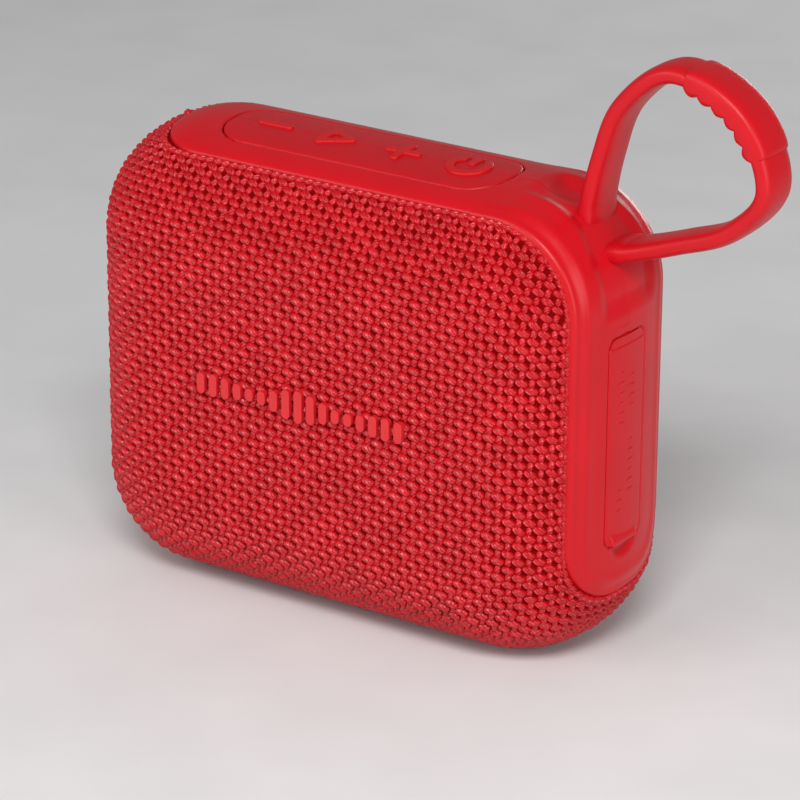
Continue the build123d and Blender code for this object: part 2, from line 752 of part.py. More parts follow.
# ---------------------------------------------------------------- port cover
cover_inner_x = 46.3
nub_reach = 1.6
lip_half = 3.4                    # the finger lip at the cover's lower end
lip_x = (47.2, 47.7, 48.35)
lip_z = (port_low_z, 21.5, 23.2)
with BuildPart() as port_cover:
    extrude(
        side_panel(port_y, port_mid_z, port_width, port_high_z - port_low_z, 1.7, cover_inner_x),
        amount=4.0,
    )
    add(form_outer, mode=Mode.INTERSECT)
    add(block((40, 60), (-10, 10), (port_hinge_z - 0.05, 60)), mode=Mode.SUBTRACT)
    extrude(side_panel(0, usb_z, 2.3, 8.0, 1.1, cover_inner_x - nub_reach), amount=nub_reach + 0.2)
    with BuildSketch(Plane.XZ.offset(lip_half)):
        with BuildLine():
            Polyline(
                (lip_x[0], lip_z[0]), (lip_x[2], lip_z[0]), (lip_x[2], lip_z[1]),
                (lip_x[1], lip_z[2]), (lip_x[0], lip_z[2]), close=True,
            )
        make_face()
    extrude(amount=-2 * lip_half)

with BuildPart() as port_cover_anchor:
    extrude(
        side_panel(port_y, port_mid_z, port_width, port_high_z - port_low_z, 1.7, cover_inner_x),
        amount=4.0,
    )
    add(form_outer, mode=Mode.INTERSECT)
    add(block((40, 60), (-10, 10), (10, port_hinge_z + 0.05)), mode=Mode.SUBTRACT)
    extrude(side_panel(0, anchor_z, 6.0, 1.0, 0.2, 43.2), amount=3.4)
    extrude(side_panel(0, anchor_z, 7.4, 1.0, 0.2, 42.9), amount=0.9)

# ---------------------------------------------------------------- strap
pivot_height = 75.2               # where the upper leg's middle line crosses the hinge axis
pivot_x = (strap_top_x + pivot_height - mirror_shift) / 2
pivot_z = pivot_x + mirror_shift
lean_plane = Plane(origin=(pivot_x, 0, pivot_z), x_dir=(0, 1, 0), z_dir=(1, 0, -1))
knuckle_low = 0.7
knuckle_radius = 3.3
lean_slope = 0.5774               # tangent of the largest lean, 30 degrees


def mirrored(point):
    """A point's image across the corner's line of symmetry."""
    return (point[1] - mirror_shift, point[0] + mirror_shift)


half_loop = [(strap_top_x, pivot_height), (43.3, 84.0), (46.8, 93.3), (54.5, 99.6)]
loop_points = half_loop + [(66.6, 94.6)] + [mirrored(p) for p in reversed(half_loop)]
grip_middle = (66.9, 94.9)
grip_length = 15.5
grip_thickness = 3.6
rib_count = 5

with BuildPart() as strap_loop:
    with BuildSketch(Plane.XZ.offset(strap_half_width)):
        with BuildLine():
            Line((strap_top_x, pivot_height - 2.5), loop_points[0])
            Spline(*loop_points, tangents=[(0, 1), (-1, 0)])
            Line(loop_points[-1], (loop_points[-1][0] - 2.5, loop_points[-1][1]))
        trace(line_width=2 * strap_half_thickness)
    extrude(amount=-2 * strap_half_width)
    with BuildSketch(Plane.XZ.offset(strap_half_width + 0.2)):
        with Locations(Location((grip_middle[0], grip_middle[1]), -45)):
            RectangleRounded(grip_length, grip_thickness, 1.2)
            with Locations((0, -grip_thickness / 2 + 0.1)):
                with GridLocations(3.0, 1.0, rib_count, 1):
                    Circle(0.9)
    extrude(amount=-2 * strap_half_width - 0.4)
    with BuildSketch(lean_plane):
        with Locations((0, 40)):
            Rectangle(30, 80)
        Circle(knuckle_radius)
        with Locations((0, -10 - knuckle_low)):
            Rectangle(30, 20, mode=Mode.SUBTRACT)
    extrude(amount=60, both=True, mode=Mode.INTERSECT)

root_gap = 0.95
with BuildPart() as strap_root:
    add(tunnel(strap_half_width, strap_top_x + strap_half_thickness, strap_top_x - strap_half_thickness,
               0.4, 1.8))
    with BuildSketch(lean_plane):
        with BuildLine():
            Polyline((0, -root_gap), (-12, -root_gap - 12 * lean_slope), (-12, 80), (12, 80),
                     (12, -root_gap - 12 * lean_slope), close=True)
        make_face()
    extrude(amount=60, both=True, mode=Mode.SUBTRACT)

# ---------------------------------------------------------------- one file for each piece
pieces = {
    "front_housing": front_housing,
    "rear_housing": rear_housing,
    "housing_seal": housing_seal,
    "housing_screws": housing_screws,
    "fabric_cover": fabric_cover,
    "trim_band": trim_band,
    "front_badge": front_badge,
    "foot_pad": foot_pad,
    "keypad_pad": keypad_pad,
    "key_minus": keys["minus"],
    "key_play": keys["play"],
    "key_plus": keys["plus"],
    "key_power": keys["power"],
    "key_board": key_board,
    "key_switches": key_switches,
    "key_board_screws": key_board_screws,
    "key_flex": key_flex,
    "driver_basket": driver_basket,
    "driver_gasket": driver_gasket,
    "driver_surround": driver_surround,
    "driver_cone": driver_cone,
    "dust_cap": dust_cap,
    "voice_coil": voice_coil,
    "driver_spider": spider,
    "top_plate": top_plate,
    "driver_magnet": driver_magnet,
    "magnet_yoke": yoke,
    "driver_screws": driver_screws,
    "driver_leads": driver_leads,
    "radiator_surround": radiator_surround,
    "radiator_plate": radiator_plate,
    "radiator_frame": radiator_frame,
    "radiator_screws": radiator_screws,
    "battery_cell": battery_cell,
    "battery_foam": battery_foam,
    "battery_leads": battery_leads,
    "main_board": main_board,
    "main_board_screws": main_board_screws,
    "bluetooth_module": bluetooth_module,
    "amplifier_chip": amplifier_chip,
    "board_capacitors": board_capacitors,
    "board_connectors": board_connectors,
    "usb_c_receptacle": usb_c_receptacle,
    "usb_gasket": usb_gasket,
    "port_cover": port_cover,
    "port_cover_anchor": port_cover_anchor,
    "strap_root": strap_root,
    "strap_loop": strap_loop,
}
for label, piece in pieces.items():
    piece.part.label = label
    export_step(piece.part, f"parts/{label}.step")
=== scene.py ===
"""Looks of the palm-sized portable speaker: a knitted cover, a silicone band, rubber keys and a strap.

Lengths here are in millimetres in the row frame, and meshes are scaled to metres when they are made.
"""
import json
import math

import bmesh
import bpy
import numpy as np
from mathutils import Matrix, Vector


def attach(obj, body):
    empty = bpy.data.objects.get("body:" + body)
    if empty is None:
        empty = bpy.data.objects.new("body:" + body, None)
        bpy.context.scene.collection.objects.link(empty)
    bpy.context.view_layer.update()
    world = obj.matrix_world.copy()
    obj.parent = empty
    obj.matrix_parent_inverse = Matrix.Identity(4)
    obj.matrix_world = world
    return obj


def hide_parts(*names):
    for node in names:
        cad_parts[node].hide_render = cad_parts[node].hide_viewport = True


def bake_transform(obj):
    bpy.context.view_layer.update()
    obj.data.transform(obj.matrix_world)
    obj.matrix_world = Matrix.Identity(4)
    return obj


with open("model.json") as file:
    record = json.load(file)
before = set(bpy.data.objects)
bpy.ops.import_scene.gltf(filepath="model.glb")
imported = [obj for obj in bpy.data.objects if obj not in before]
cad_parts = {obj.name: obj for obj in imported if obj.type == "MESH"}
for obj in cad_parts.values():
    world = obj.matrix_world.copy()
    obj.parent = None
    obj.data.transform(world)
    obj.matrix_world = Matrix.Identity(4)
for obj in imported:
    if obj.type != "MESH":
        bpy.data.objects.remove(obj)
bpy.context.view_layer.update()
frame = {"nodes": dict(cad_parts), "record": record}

MM = 0.001
FAR = 99.0                     # stands for a distance to something that is nowhere near
rng = np.random.default_rng(7)
slot_of = {part["node"]: part["material_slot"] for part in frame["record"]["subparts"]}

# ---------------------------------------------------------------- the body's form, as in the CAD
HALF_WIDTH = 48.0
HALF_DEPTH = 20.0
MID_Z = 39.0
CORNER = 16.5
CORNER_SHRINK = 0.6            # how fast the corner's radius shrinks as the outline draws in
FRONT_CROWN = (19.7, 23.9, 2.64)               # how far in the edge draws, over what depth, and its power
BACK_CROWN = (10.0, 18.5, 2.1)
BAND_HALF = 12.9
BAND_CENTRE = 1.0
BAND_END = 10.0                # the radius of the band's rounded ends
BAND_START_X = -37.3
BAND_LOW_Z = 12.5
FOOT_TOP = 12.0
FOOT_CORE = (29.0, 1.5)        # the foot window's half width and half depth inside its rounded corners
FOOT_RADIUS = 5.3
CORE_U = 24.0                  # the fabric lies flat inside this half width and half height
CORE_V = 15.0
CLOTH_HALF_U = 93.0            # how far the unrolled cloth is worked out
CLOTH_HALF_V = 84.0
SEAM_Y = 15.0


def inset(y):
    """How far the outline has drawn in at y."""
    result = np.zeros_like(y)
    for side, (edge, run, power) in ((y < 0, FRONT_CROWN), (y >= 0, BACK_CROWN)):
        along = np.clip((np.abs(y) - (HALF_DEPTH - run)) / run, 0, 1)
        result = np.where(side, edge * (1 - (1 - along**power) ** (1 / power)), result)
    return result


def to_outline(cu, cv, c, s, e):
    """The distance from (cu, cv) along (c, s) to the outline drawn in by e."""
    radius = CORNER * (1 - CORNER_SHRINK * e / FRONT_CROWN[0])
    wide, high = HALF_WIDTH - e, MID_Z - e
    ax, az = wide - radius, high - radius
    with np.errstate(divide="ignore", invalid="ignore"):
        to_side = np.where(c > 1e-9, (wide - cu) / c, 1e9)
        to_top = np.where(s > 1e-9, (high - cv) / s, 1e9)
    bx, bz = cu - ax, cv - az
    b = bx * c + bz * s
    to_arc = -b + np.sqrt(np.maximum(b * b - bx * bx - bz * bz + radius**2, 0))
    on_top = np.where(cu + c * to_top <= ax, to_top, to_arc)
    return np.where(cv + s * to_side <= az, to_side, on_top)


class Unrolled:
    """The front (-1) or back (+1) of the form as a flat cloth: u runs across it, v up it."""

    step = 0.6

    def __init__(self, side):
        self.us = np.arange(-CLOTH_HALF_U, CLOTH_HALF_U + 0.1, self.step)
        self.vs = np.arange(-CLOTH_HALF_V, CLOTH_HALF_V + 0.1, self.step)
        u, v = np.meshgrid(self.us, self.vs, indexing="ij")
        cu, cv = np.minimum(np.abs(u), CORE_U), np.minimum(np.abs(v), CORE_V)
        du, dv = np.abs(u) - cu, np.abs(v) - cv
        d = np.hypot(du, dv)
        c = np.where(d > 0, du / np.maximum(d, 1e-12), 1.0)
        s = np.where(d > 0, dv / np.maximum(d, 1e-12), 0.0)
        if side < 0:
            y = -HALF_DEPTH + 38 * np.linspace(0, 1, 150) ** 2.6
        else:
            y = HALF_DEPTH - 24 * np.linspace(0, 1, 110) ** 2.4
        e = inset(y)
        point = np.zeros(u.shape + (3,))
        for row in range(u.shape[0]):
            pick = lambda a: a[row][:, None]
            rho = to_outline(pick(cu), pick(cv), pick(c), pick(s), e[None, :])
            steps = np.hypot(np.diff(rho, axis=1), np.diff(y)[None, :])
            walked = np.concatenate([rho[:, :1], rho[:, :1] + np.cumsum(steps, axis=1)], axis=1)
            k = np.clip((walked < d[row][:, None]).sum(1) - 1, 0, len(y) - 2)
            r = np.arange(len(k))
            low, high = walked[r, k], walked[r, k + 1]
            share = np.clip((d[row] - low) / (high - low), 0, 1)
            flat = d[row] <= walked[:, 0]
            reach = np.where(flat, d[row], rho[r, k] + (rho[r, k + 1] - rho[r, k]) * share)
            point[row, :, 0] = -side * np.sign(u[row]) * (cu[row] + reach * c[row])
            point[row, :, 1] = np.where(flat, y[0], y[k] + (y[k + 1] - y[k]) * share)
            point[row, :, 2] = MID_Z + np.sign(v[row]) * (cv[row] + reach * s[row])
        normal = np.cross(np.gradient(point, axis=0), np.gradient(point, axis=1))
        length = np.linalg.norm(normal, axis=2, keepdims=True)
        self.point, self.normal = point, normal / np.maximum(length, 1e-9)

    def at(self, u, v):
        """Points of the surface and its outward normals."""
        fu = np.clip((u - self.us[0]) / self.step, 0, len(self.us) - 1.001)
        fv = np.clip((v - self.vs[0]) / self.step, 0, len(self.vs) - 1.001)
        i, j = fu.astype(int), fv.astype(int)
        a, b = (fu - i)[..., None], (fv - j)[..., None]
        out = []
        for grid in (self.point, self.normal):
            near = grid[i, j] * (1 - b) + grid[i, j + 1] * b
            far = grid[i + 1, j] * (1 - b) + grid[i + 1, j + 1] * b
            out.append(near * (1 - a) + far * a)
        out[1] /= np.maximum(np.linalg.norm(out[1], axis=-1, keepdims=True), 1e-9)
        return out


def rounded_gap(qx, qy, radius):
    """Distance outside a rounded corner whose centre is at q = 0."""
    return np.hypot(np.maximum(qx, 0), np.maximum(qy, 0)) + np.minimum(np.maximum(qx, qy), 0) - radius


def band_gap(p):
    """Distance outside the silicone band's outline, negative inside it."""
    x, y, z = p[..., 0], np.abs(p[..., 1] - BAND_CENTRE), p[..., 2]
    across = y - (BAND_HALF - BAND_END)
    over_top = rounded_gap(BAND_END - (x - BAND_START_X), across, BAND_END)
    down_side = rounded_gap(BAND_END - (z - BAND_LOW_Z), across, BAND_END)
    corner = MID_Z * 2 - CORNER
    return np.where(z > corner, over_top, np.where(x > HALF_WIDTH - CORNER, down_side, FAR))


def foot_gap(p):
    """Distance outside the foot's window, negative inside it."""
    x, y = np.abs(p[..., 0]), np.abs(p[..., 1])
    window = rounded_gap(x - FOOT_CORE[0], y - FOOT_CORE[1], FOOT_RADIUS)
    return np.where(p[..., 2] < FOOT_TOP, window, FAR)


def section_at(y):
    """The outline at y: its half width, half height and corner radius."""
    e = inset(np.asarray(y, float))
    return HALF_WIDTH - e, MID_Z - e, CORNER * (1 - CORNER_SHRINK * e / FRONT_CROWN[0])


def top_z(x, y):
    """The height of the form's top above x, y."""
    wide, high, radius = section_at(y)
    over = np.maximum(np.abs(x) - (wide - radius), 0)
    return MID_Z + high - radius + np.sqrt(np.maximum(radius**2 - over**2, 0))


def rounded_outline(half_x, half_y, radius, long_side=60, short_side=5):
    """Points round a rectangle with rounded corners, always as many of them."""
    out = []
    for k, (sx, sy) in enumerate(((1, 1), (-1, 1), (-1, -1), (1, -1))):
        corner = np.array([sx * (half_x - radius), sy * (half_y - radius)])
        swing = np.radians(90 * k + np.linspace(0, 90, 16, endpoint=False))
        out.append(corner + radius * np.stack([np.cos(swing), np.sin(swing)], -1))
        leave = np.radians(90 * (k + 1))
        start = corner + radius * np.array([np.cos(leave), np.sin(leave)])
        step = (-sx if k % 2 == 0 else 0, -sy if k % 2 else 0)
        length = 2 * ((half_x if k % 2 == 0 else half_y) - radius)
        share = np.linspace(0, 1, long_side if k % 2 == 0 else short_side, endpoint=False)[:, None]
        out.append(start + share * length * np.array(step, float))
    return np.concatenate(out)


def smoothstep(low, high, value):
    """0 below low, 1 above high, and a smooth rise between."""
    t = np.clip((value - low) / (high - low), 0, 1)
    return t * t * (3 - 2 * t)


CORNER_X = HALF_WIDTH - CORNER               # the top right corner's centre
CORNER_Z = MID_Z * 2 - CORNER
ARC = CORNER * math.pi / 2


def form_point(run, y):
    """The point of the form at a distance run from the top right corner's start, and at y."""
    wide, high, radius = section_at(y)
    phi = np.pi / 2 - np.clip(run, 0, ARC) / CORNER
    x = wide - radius + radius * np.cos(phi) + np.minimum(run, 0)
    z = MID_Z + high - radius + radius * np.sin(phi) - np.maximum(run - ARC, 0)
    return np.stack([x, y + 0 * run, np.where(run < 0, top_z(x, y), z)], -1)


def form_frame(run, y):
    """Points of the form with their outward normals and the direction in which the run grows."""
    p = form_point(run, y)
    forward = form_point(run + 0.05, y) - p
    side = form_point(run, y + 0.05) - p
    normal = np.cross(forward, side)
    normal /= np.linalg.norm(normal, axis=-1, keepdims=True)
    return p, normal, forward / np.linalg.norm(forward, axis=-1, keepdims=True)


# ---------------------------------------------------------------- mesh helpers
def mesh_object(name, points, faces, uv=None):
    """An object from points in millimetres and an array of triangles or quads."""
    points, faces = np.asarray(points, float) * MM, np.asarray(faces, np.int32)
    mesh = bpy.data.meshes.new(name)
    mesh.vertices.add(len(points))
    mesh.vertices.foreach_set("co", points.ravel().astype(np.float32))
    mesh.loops.add(faces.size)
    mesh.loops.foreach_set("vertex_index", faces.ravel())
    mesh.polygons.add(len(faces))
    mesh.polygons.foreach_set("loop_start", np.arange(len(faces), dtype=np.int32) * faces.shape[1])
    mesh.polygons.foreach_set("use_smooth", np.ones(len(faces), bool))
    if uv is not None:
        layer = mesh.uv_layers.new(name="UVMap")
        layer.data.foreach_set("uv", np.asarray(uv)[faces.ravel()].astype(np.float32).ravel())
    mesh.update(calc_edges=True)
    mesh.validate()
    obj = bpy.data.objects.new(name, mesh)
    bpy.context.scene.collection.objects.link(obj)
    return obj


def grid_faces(rows, columns, closed=False):
    """Quads of a grid whose points are listed row by row."""
    span = columns if closed else columns - 1
    i, j = np.meshgrid(np.arange(rows - 1), np.arange(span), indexing="ij")
    right = (j + 1) % columns
    here, above = i * columns, (i + 1) * columns
    return np.stack([here + j, here + right, above + right, above + j], -1).reshape(-1, 4)


def coords(mesh):
    """The mesh's points in millimetres."""
    flat = np.zeros(len(mesh.vertices) * 3, np.float32)
    mesh.vertices.foreach_get("co", flat)
    return flat.reshape(-1, 3).astype(float) / MM


def set_coords(mesh, points):
    """Moves the mesh's points to these, in millimetres."""
    mesh.vertices.foreach_set("co", (points * MM).astype(np.float32).ravel())
    mesh.update()


def normals(mesh):
    """The mesh's outward normals at its points."""
    flat = np.zeros(len(mesh.vertices) * 3, np.float32)
    mesh.vertices.foreach_get("normal", flat)
    return flat.reshape(-1, 3)


def relax(mesh, weight, rounds):
    """Smooths the mesh: each point moves towards its neighbours' mean by its own weight."""
    points = coords(mesh)
    edges = np.zeros(len(mesh.edges) * 2, np.int32)
    mesh.edges.foreach_get("vertices", edges)
    a, b = edges.reshape(-1, 2).T
    near, other = np.concatenate([a, b]), np.concatenate([b, a])
    count = np.maximum(np.bincount(near, minlength=len(points)), 1)[:, None]
    w = np.broadcast_to(np.asarray(weight, float), (len(points),))[:, None]
    for _ in range(rounds):
        total = np.stack([np.bincount(near, points[other, k], len(points)) for k in range(3)], -1)
        points += w * (total / count - points)
    set_coords(mesh, points)


def remeshed(node, name, voxel, rounds=2):
    """A finely meshed copy of a CAD piece, so that its edges can be softened."""
    source = frame["nodes"][node]
    mesh = source.data.copy()
    work = bmesh.new()
    work.from_mesh(mesh)
    bmesh.ops.remove_doubles(work, verts=work.verts, dist=1e-6)
    work.to_mesh(mesh)
    work.free()
    temp = bpy.data.objects.new(name + "_temp", mesh)
    bpy.context.scene.collection.objects.link(temp)
    change = temp.modifiers.new("Remesh", "REMESH")
    change.mode = "VOXEL"
    change.voxel_size = voxel * MM
    change.use_smooth_shade = True
    graph = bpy.context.evaluated_depsgraph_get()
    done = bpy.data.meshes.new_from_object(temp.evaluated_get(graph))
    bpy.data.objects.remove(temp)
    obj = bpy.data.objects.new(name, done)
    bpy.context.scene.collection.objects.link(obj)
    done.materials.clear()
    relax(done, 0.5, rounds)
    return obj


def dress(obj, body, material, slot, *nodes):
    """Gives a piece its material and its body, and hides the CAD nodes that it stands for; its slot is not
    used.
    """
    obj.data.materials.clear()
    obj.data.materials.append(material)
    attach(obj, body)
    if nodes:
        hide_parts(*nodes)
    return obj


# ---------------------------------------------------------------- materials
class Shader:
    """A material's node tree, with short calls for the nodes used here."""

    def __init__(self, name):
        self.material = bpy.data.materials.new(name)
        self.material.use_nodes = True
        self.tree = self.material.node_tree
        self.tree.nodes.clear()
        self.out = self.tree.nodes.new("ShaderNodeOutputMaterial")
        self.main = self.tree.nodes.new("ShaderNodeBsdfPrincipled")
        self.link(self.main.outputs["BSDF"], self.out.inputs["Surface"])
        self.place = self.tree.nodes.new("ShaderNodeTexCoord").outputs["Object"]

    def link(self, start, end):
        """Joins an output to an input."""
        self.tree.links.new(start, end)

    def set(self, **values):
        """Constants on the main shader's own sockets, with _ for a space in a name."""
        for key, value in values.items():
            self.main.inputs[key.replace("_", " ")].default_value = value
        return self

    def noise(self, scale, detail=3.0, rough=0.5, source=None):
        node = self.tree.nodes.new("ShaderNodeTexNoise")
        node.inputs["Scale"].default_value = scale
        node.inputs["Detail"].default_value = detail
        node.inputs["Roughness"].default_value = rough
        self.link(source or self.place, node.inputs["Vector"])
        return node.outputs["Fac"]

    def stretch(self, scale, source=None):
        """Coordinates scaled by a different factor along each axis."""
        node = self.tree.nodes.new("ShaderNodeMapping")
        node.inputs["Scale"].default_value = scale
        self.link(source or self.place, node.inputs["Vector"])
        return node.outputs["Vector"]

    def ramp(self, value, stops):
        """A colour that goes through the stops as the value grows."""
        node = self.tree.nodes.new("ShaderNodeValToRGB")
        ramp = node.color_ramp
        while len(ramp.elements) < len(stops):
            ramp.elements.new(0.5)
        for element, (at, colour) in zip(ramp.elements, stops):
            element.position = at
            element.color = (*colour, 1)
        self.link(value, node.inputs["Fac"])
        return node.outputs["Color"]

    def span(self, value, low, high):
        """The value from 0 to 1 spread over low to high."""
        node = self.tree.nodes.new("ShaderNodeMapRange")
        node.inputs["To Min"].default_value = low
        node.inputs["To Max"].default_value = high
        self.link(value, node.inputs["Value"])
        return node.outputs["Result"]

    def math(self, kind, a, b):
        node = self.tree.nodes.new("ShaderNodeMath")
        node.operation = kind
        for socket, value in zip(node.inputs, (a, b)):
            if isinstance(value, (int, float)):
                socket.default_value = value
            else:
                self.link(value, socket)
        return node.outputs["Value"]

    def bump(self, height, distance, strength=1.0):
        node = self.tree.nodes.new("ShaderNodeBump")
        node.inputs["Strength"].default_value = strength
        node.inputs["Distance"].default_value = distance
        self.link(height, node.inputs["Height"])
        self.link(node.outputs["Normal"], self.main.inputs["Normal"])
        return self

    def colour(self, socket):
        self.link(socket, self.main.inputs["Base Color"])
        return self

    def roughness(self, socket):
        self.link(socket, self.main.inputs["Roughness"])
        return self


def toned(colour, factor):
    """The colour made brighter or darker."""
    return tuple(min(1.0, channel * factor) for channel in colour)


def rubber(name, colour, rough, grain=0.00002, specular=0.28, vary=0.04):
    """Moulded silicone or rubber: faint clouding, a fine matt grain and a satin gloss."""
    s = Shader(name)
    cloud = s.noise(90, 3)
    s.colour(s.ramp(cloud, [(0.3, toned(colour, 1 - vary)), (0.7, toned(colour, 1 + vary))]))
    s.roughness(s.span(s.noise(1400, 3, 0.6), rough - 0.07, rough + 0.07))
    s.bump(s.noise(5200, 2, 0.6), grain, 0.6)
    s.set(Specular_IOR_Level=specular)
    return s.material


def yarn_material():
    """Plied polyester: fine filaments along each ply with a soft sheen, coloured from a painted shade to a
    pinkish painted highlight.
    """
    s = Shader("knit_yarn")
    uv = s.tree.nodes.new("ShaderNodeTexCoord").outputs["UV"]
    filament = s.noise(1.0, 2, 0.5, s.stretch((9.0, 1.2, 1.0), uv))
    patch = s.noise(160, 2)
    tone = s.math("ADD", s.math("MULTIPLY", filament, 0.75), s.math("MULTIPLY", patch, 0.25))
    # painted shade and painted highlight: dark red, middle red and pinkish bright red, spread along the
    # filaments by noise, not by the plies' relief
    painted_shade_tone, middle_tone, painted_highlight_tone = (0.26, 0.0015, 0.004), (0.50, 0.004, 0.010), (0.72, 0.014, 0.028)
    s.colour(s.ramp(tone, [(0.28, painted_shade_tone), (0.5, middle_tone), (0.75, painted_highlight_tone)]))
    s.roughness(s.span(filament, 0.24, 0.38))
    s.bump(filament, 0.00006, 0.7)
    s.set(Specular_IOR_Level=0.45)
    return s.material


def backing_material():
    """The open scrim seen through the knit's holes; its dark red is partly its own colour and partly painted
    shade for the holes.
    """
    s = Shader("cover_scrim")
    weave = s.noise(2600, 2, 0.6)
    # the dark red is partly the scrim's own colour and partly painted shade in the knit's holes
    s.colour(s.ramp(weave, [(0.3, (0.13, 0.0002, 0.0004)), (0.7, (0.22, 0.0004, 0.0008))]))
    s.roughness(s.span(weave, 0.7, 0.95))
    s.bump(weave, 0.00005, 0.6)
    s.set(Specular_IOR_Level=0.05)
    return s.material


def plain(name, colour, rough, metal=0.0, scale=700, vary=0.12, grain=0.00001, streak=None):
    """Moulded plastic, coated or bare metal: slight variation of tone, gloss and surface."""
    s = Shader(name)
    source = s.stretch(streak) if streak else None
    cloud = s.noise(scale, 3, 0.55, source)
    s.colour(s.ramp(cloud, [(0.25, toned(colour, 1 - vary)), (0.75, toned(colour, 1 + vary))]))
    s.roughness(s.span(s.noise(scale * 2.3, 2, 0.5, source), max(0.05, rough - 0.08), rough + 0.08))
    s.bump(s.noise(scale * 4, 2, 0.5, source), grain, 0.5)
    s.set(Metallic=metal)
    return s.material


RED = (0.545, 0.0030, 0.0095)
silicone = rubber("silicone_red", RED, 0.34)
key_silicone = rubber("key_silicone_red", toned(RED, 0.97), 0.42)
# the key silicone made a shade lighter: a painted highlight for the light that the raised marks catch
lit_mark_silicone = rubber("mark_silicone_red", (0.585, 0.0048, 0.0085), 0.42)
strap_silicone = rubber("strap_silicone_red", toned(RED, 0.98), 0.38, vary=0.05)
yarn = yarn_material()
scrim = backing_material()

finishes = {
    "housing_plastic": plain("housing_abs", (0.35, 0.015, 0.022), 0.5, scale=900),
    "badge_plastic": plain("badge_satin", (0.62, 0.014, 0.020), 0.36, scale=400, vary=0.05),
    "foot_rubber": rubber("foot_rubber", (0.40, 0.015, 0.022), 0.62, 0.00004, 0.3),
    "seal_rubber": rubber("seal_rubber", (0.03, 0.03, 0.03), 0.6),
    "steel": plain("zinc_steel", (0.5, 0.5, 0.51), 0.32, 1.0, 500),
    "basket_steel": plain("basket_coating", (0.05, 0.05, 0.055), 0.5, 0.0, 900),
    "paper_cone": plain("paper_pulp", (0.06, 0.06, 0.065), 0.85, 0.0, 1500, 0.3, 0.00006),
    "copper": plain("copper_winding", (0.62, 0.32, 0.16), 0.3, 1.0, 400, streak=(1, 40, 1)),
    "spider_cloth": plain("spider_weave", (0.5, 0.36, 0.14), 0.85, 0.0, 2200, 0.25, 0.00005),
    "magnet": plain("nickel_plate", (0.55, 0.55, 0.56), 0.22, 1.0, 300),
    "circuit_board": plain("solder_mask", (0.01, 0.10, 0.05), 0.28, 0.0, 700),
    "component_black": plain("black_epoxy", (0.02, 0.02, 0.02), 0.5, 0.0, 1200),
    "shield_metal": plain("tinned_can", (0.62, 0.62, 0.63), 0.3, 1.0, 300, streak=(1, 1, 25)),
    "cell_wrap": plain("pouch_foil", (0.08, 0.12, 0.30), 0.35, 0.0, 250, 0.2, 0.00004),
    "foam": plain("black_foam", (0.05, 0.05, 0.05), 0.95, 0.0, 1600, 0.4, 0.0001),
    "wire_jacket": plain("wire_pvc", (0.5, 0.02, 0.02), 0.35, 0.0, 500),
    "flex_film": plain("polyimide", (0.45, 0.22, 0.04), 0.3, 0.0, 350),
    "plate_metal": plain("anodised_plate", (0.4, 0.4, 0.42), 0.38, 1.0, 500, streak=(30, 1, 1)),
    "silicone": silicone,
    "key_rubber": key_silicone,
    "knit_fabric": yarn,
}
for node, obj in frame["nodes"].items():
    finish = finishes[slot_of[node]]
    if not obj.material_slots:
        obj.data.materials.append(finish)
    for material_slot in obj.material_slots:
        material_slot.material = finish

# ---------------------------------------------------------------- the knitted cover
COLUMN = 1.73                  # the knit's pitch across and up
ROW = 1.38
CELLS_ACROSS = 54              # cells on each side of the middle
CELLS_UP = 61
YARN_LOW = -0.85               # where a float starts, under the form's surface
BAND_CLEAR = 0.9               # how far the floats keep from the band and from the foot
FOOT_CLEAR = 0.3
HEAVIEST = 180000              # triangles in one piece
FLUSH_TUCK = 0.12              # how far the fabric sinks beside the band where that lies flush
RIM_TUCK = 0.33                # and how much more where its rim stands up
REAR_TUCK = 0.85
SEAM_TUCK = 0.35
SCRIM_DEPTH = 0.62
SCRIM_DEEPEST = 1.32
SCRIM_STEP = 1.0
SCRIM_UNDER = 0.9              # how far the scrim runs in under the band and past the seam
SEAM_OVERLAP = 1.2


def rim_share(p):
    """0 where the band lies flush with the fabric, along the top, and 1 where its rim stands up."""
    return smoothstep(22.0, 38.0, p[..., 0])


def tuck(p):
    """How far the fabric sinks beside the band, round the foot and at the rear seam."""
    gap = np.minimum(band_gap(p), foot_gap(p))
    behind = smoothstep(-4, 6, p[..., 1]) * smoothstep(16, 30, p[..., 2]) * smoothstep(-34, -22, p[..., 0])
    beside = FLUSH_TUCK + RIM_TUCK * rim_share(p)
    in_front = (1 - behind) * beside * (1 - smoothstep(0.1, 1.6, gap))
    sink = in_front + behind * REAR_TUCK * (1 - smoothstep(1.0, 6.0, gap))
    return sink + SEAM_TUCK * (1 - smoothstep(0.0, 1.0, np.abs(p[..., 1] - SEAM_Y)))


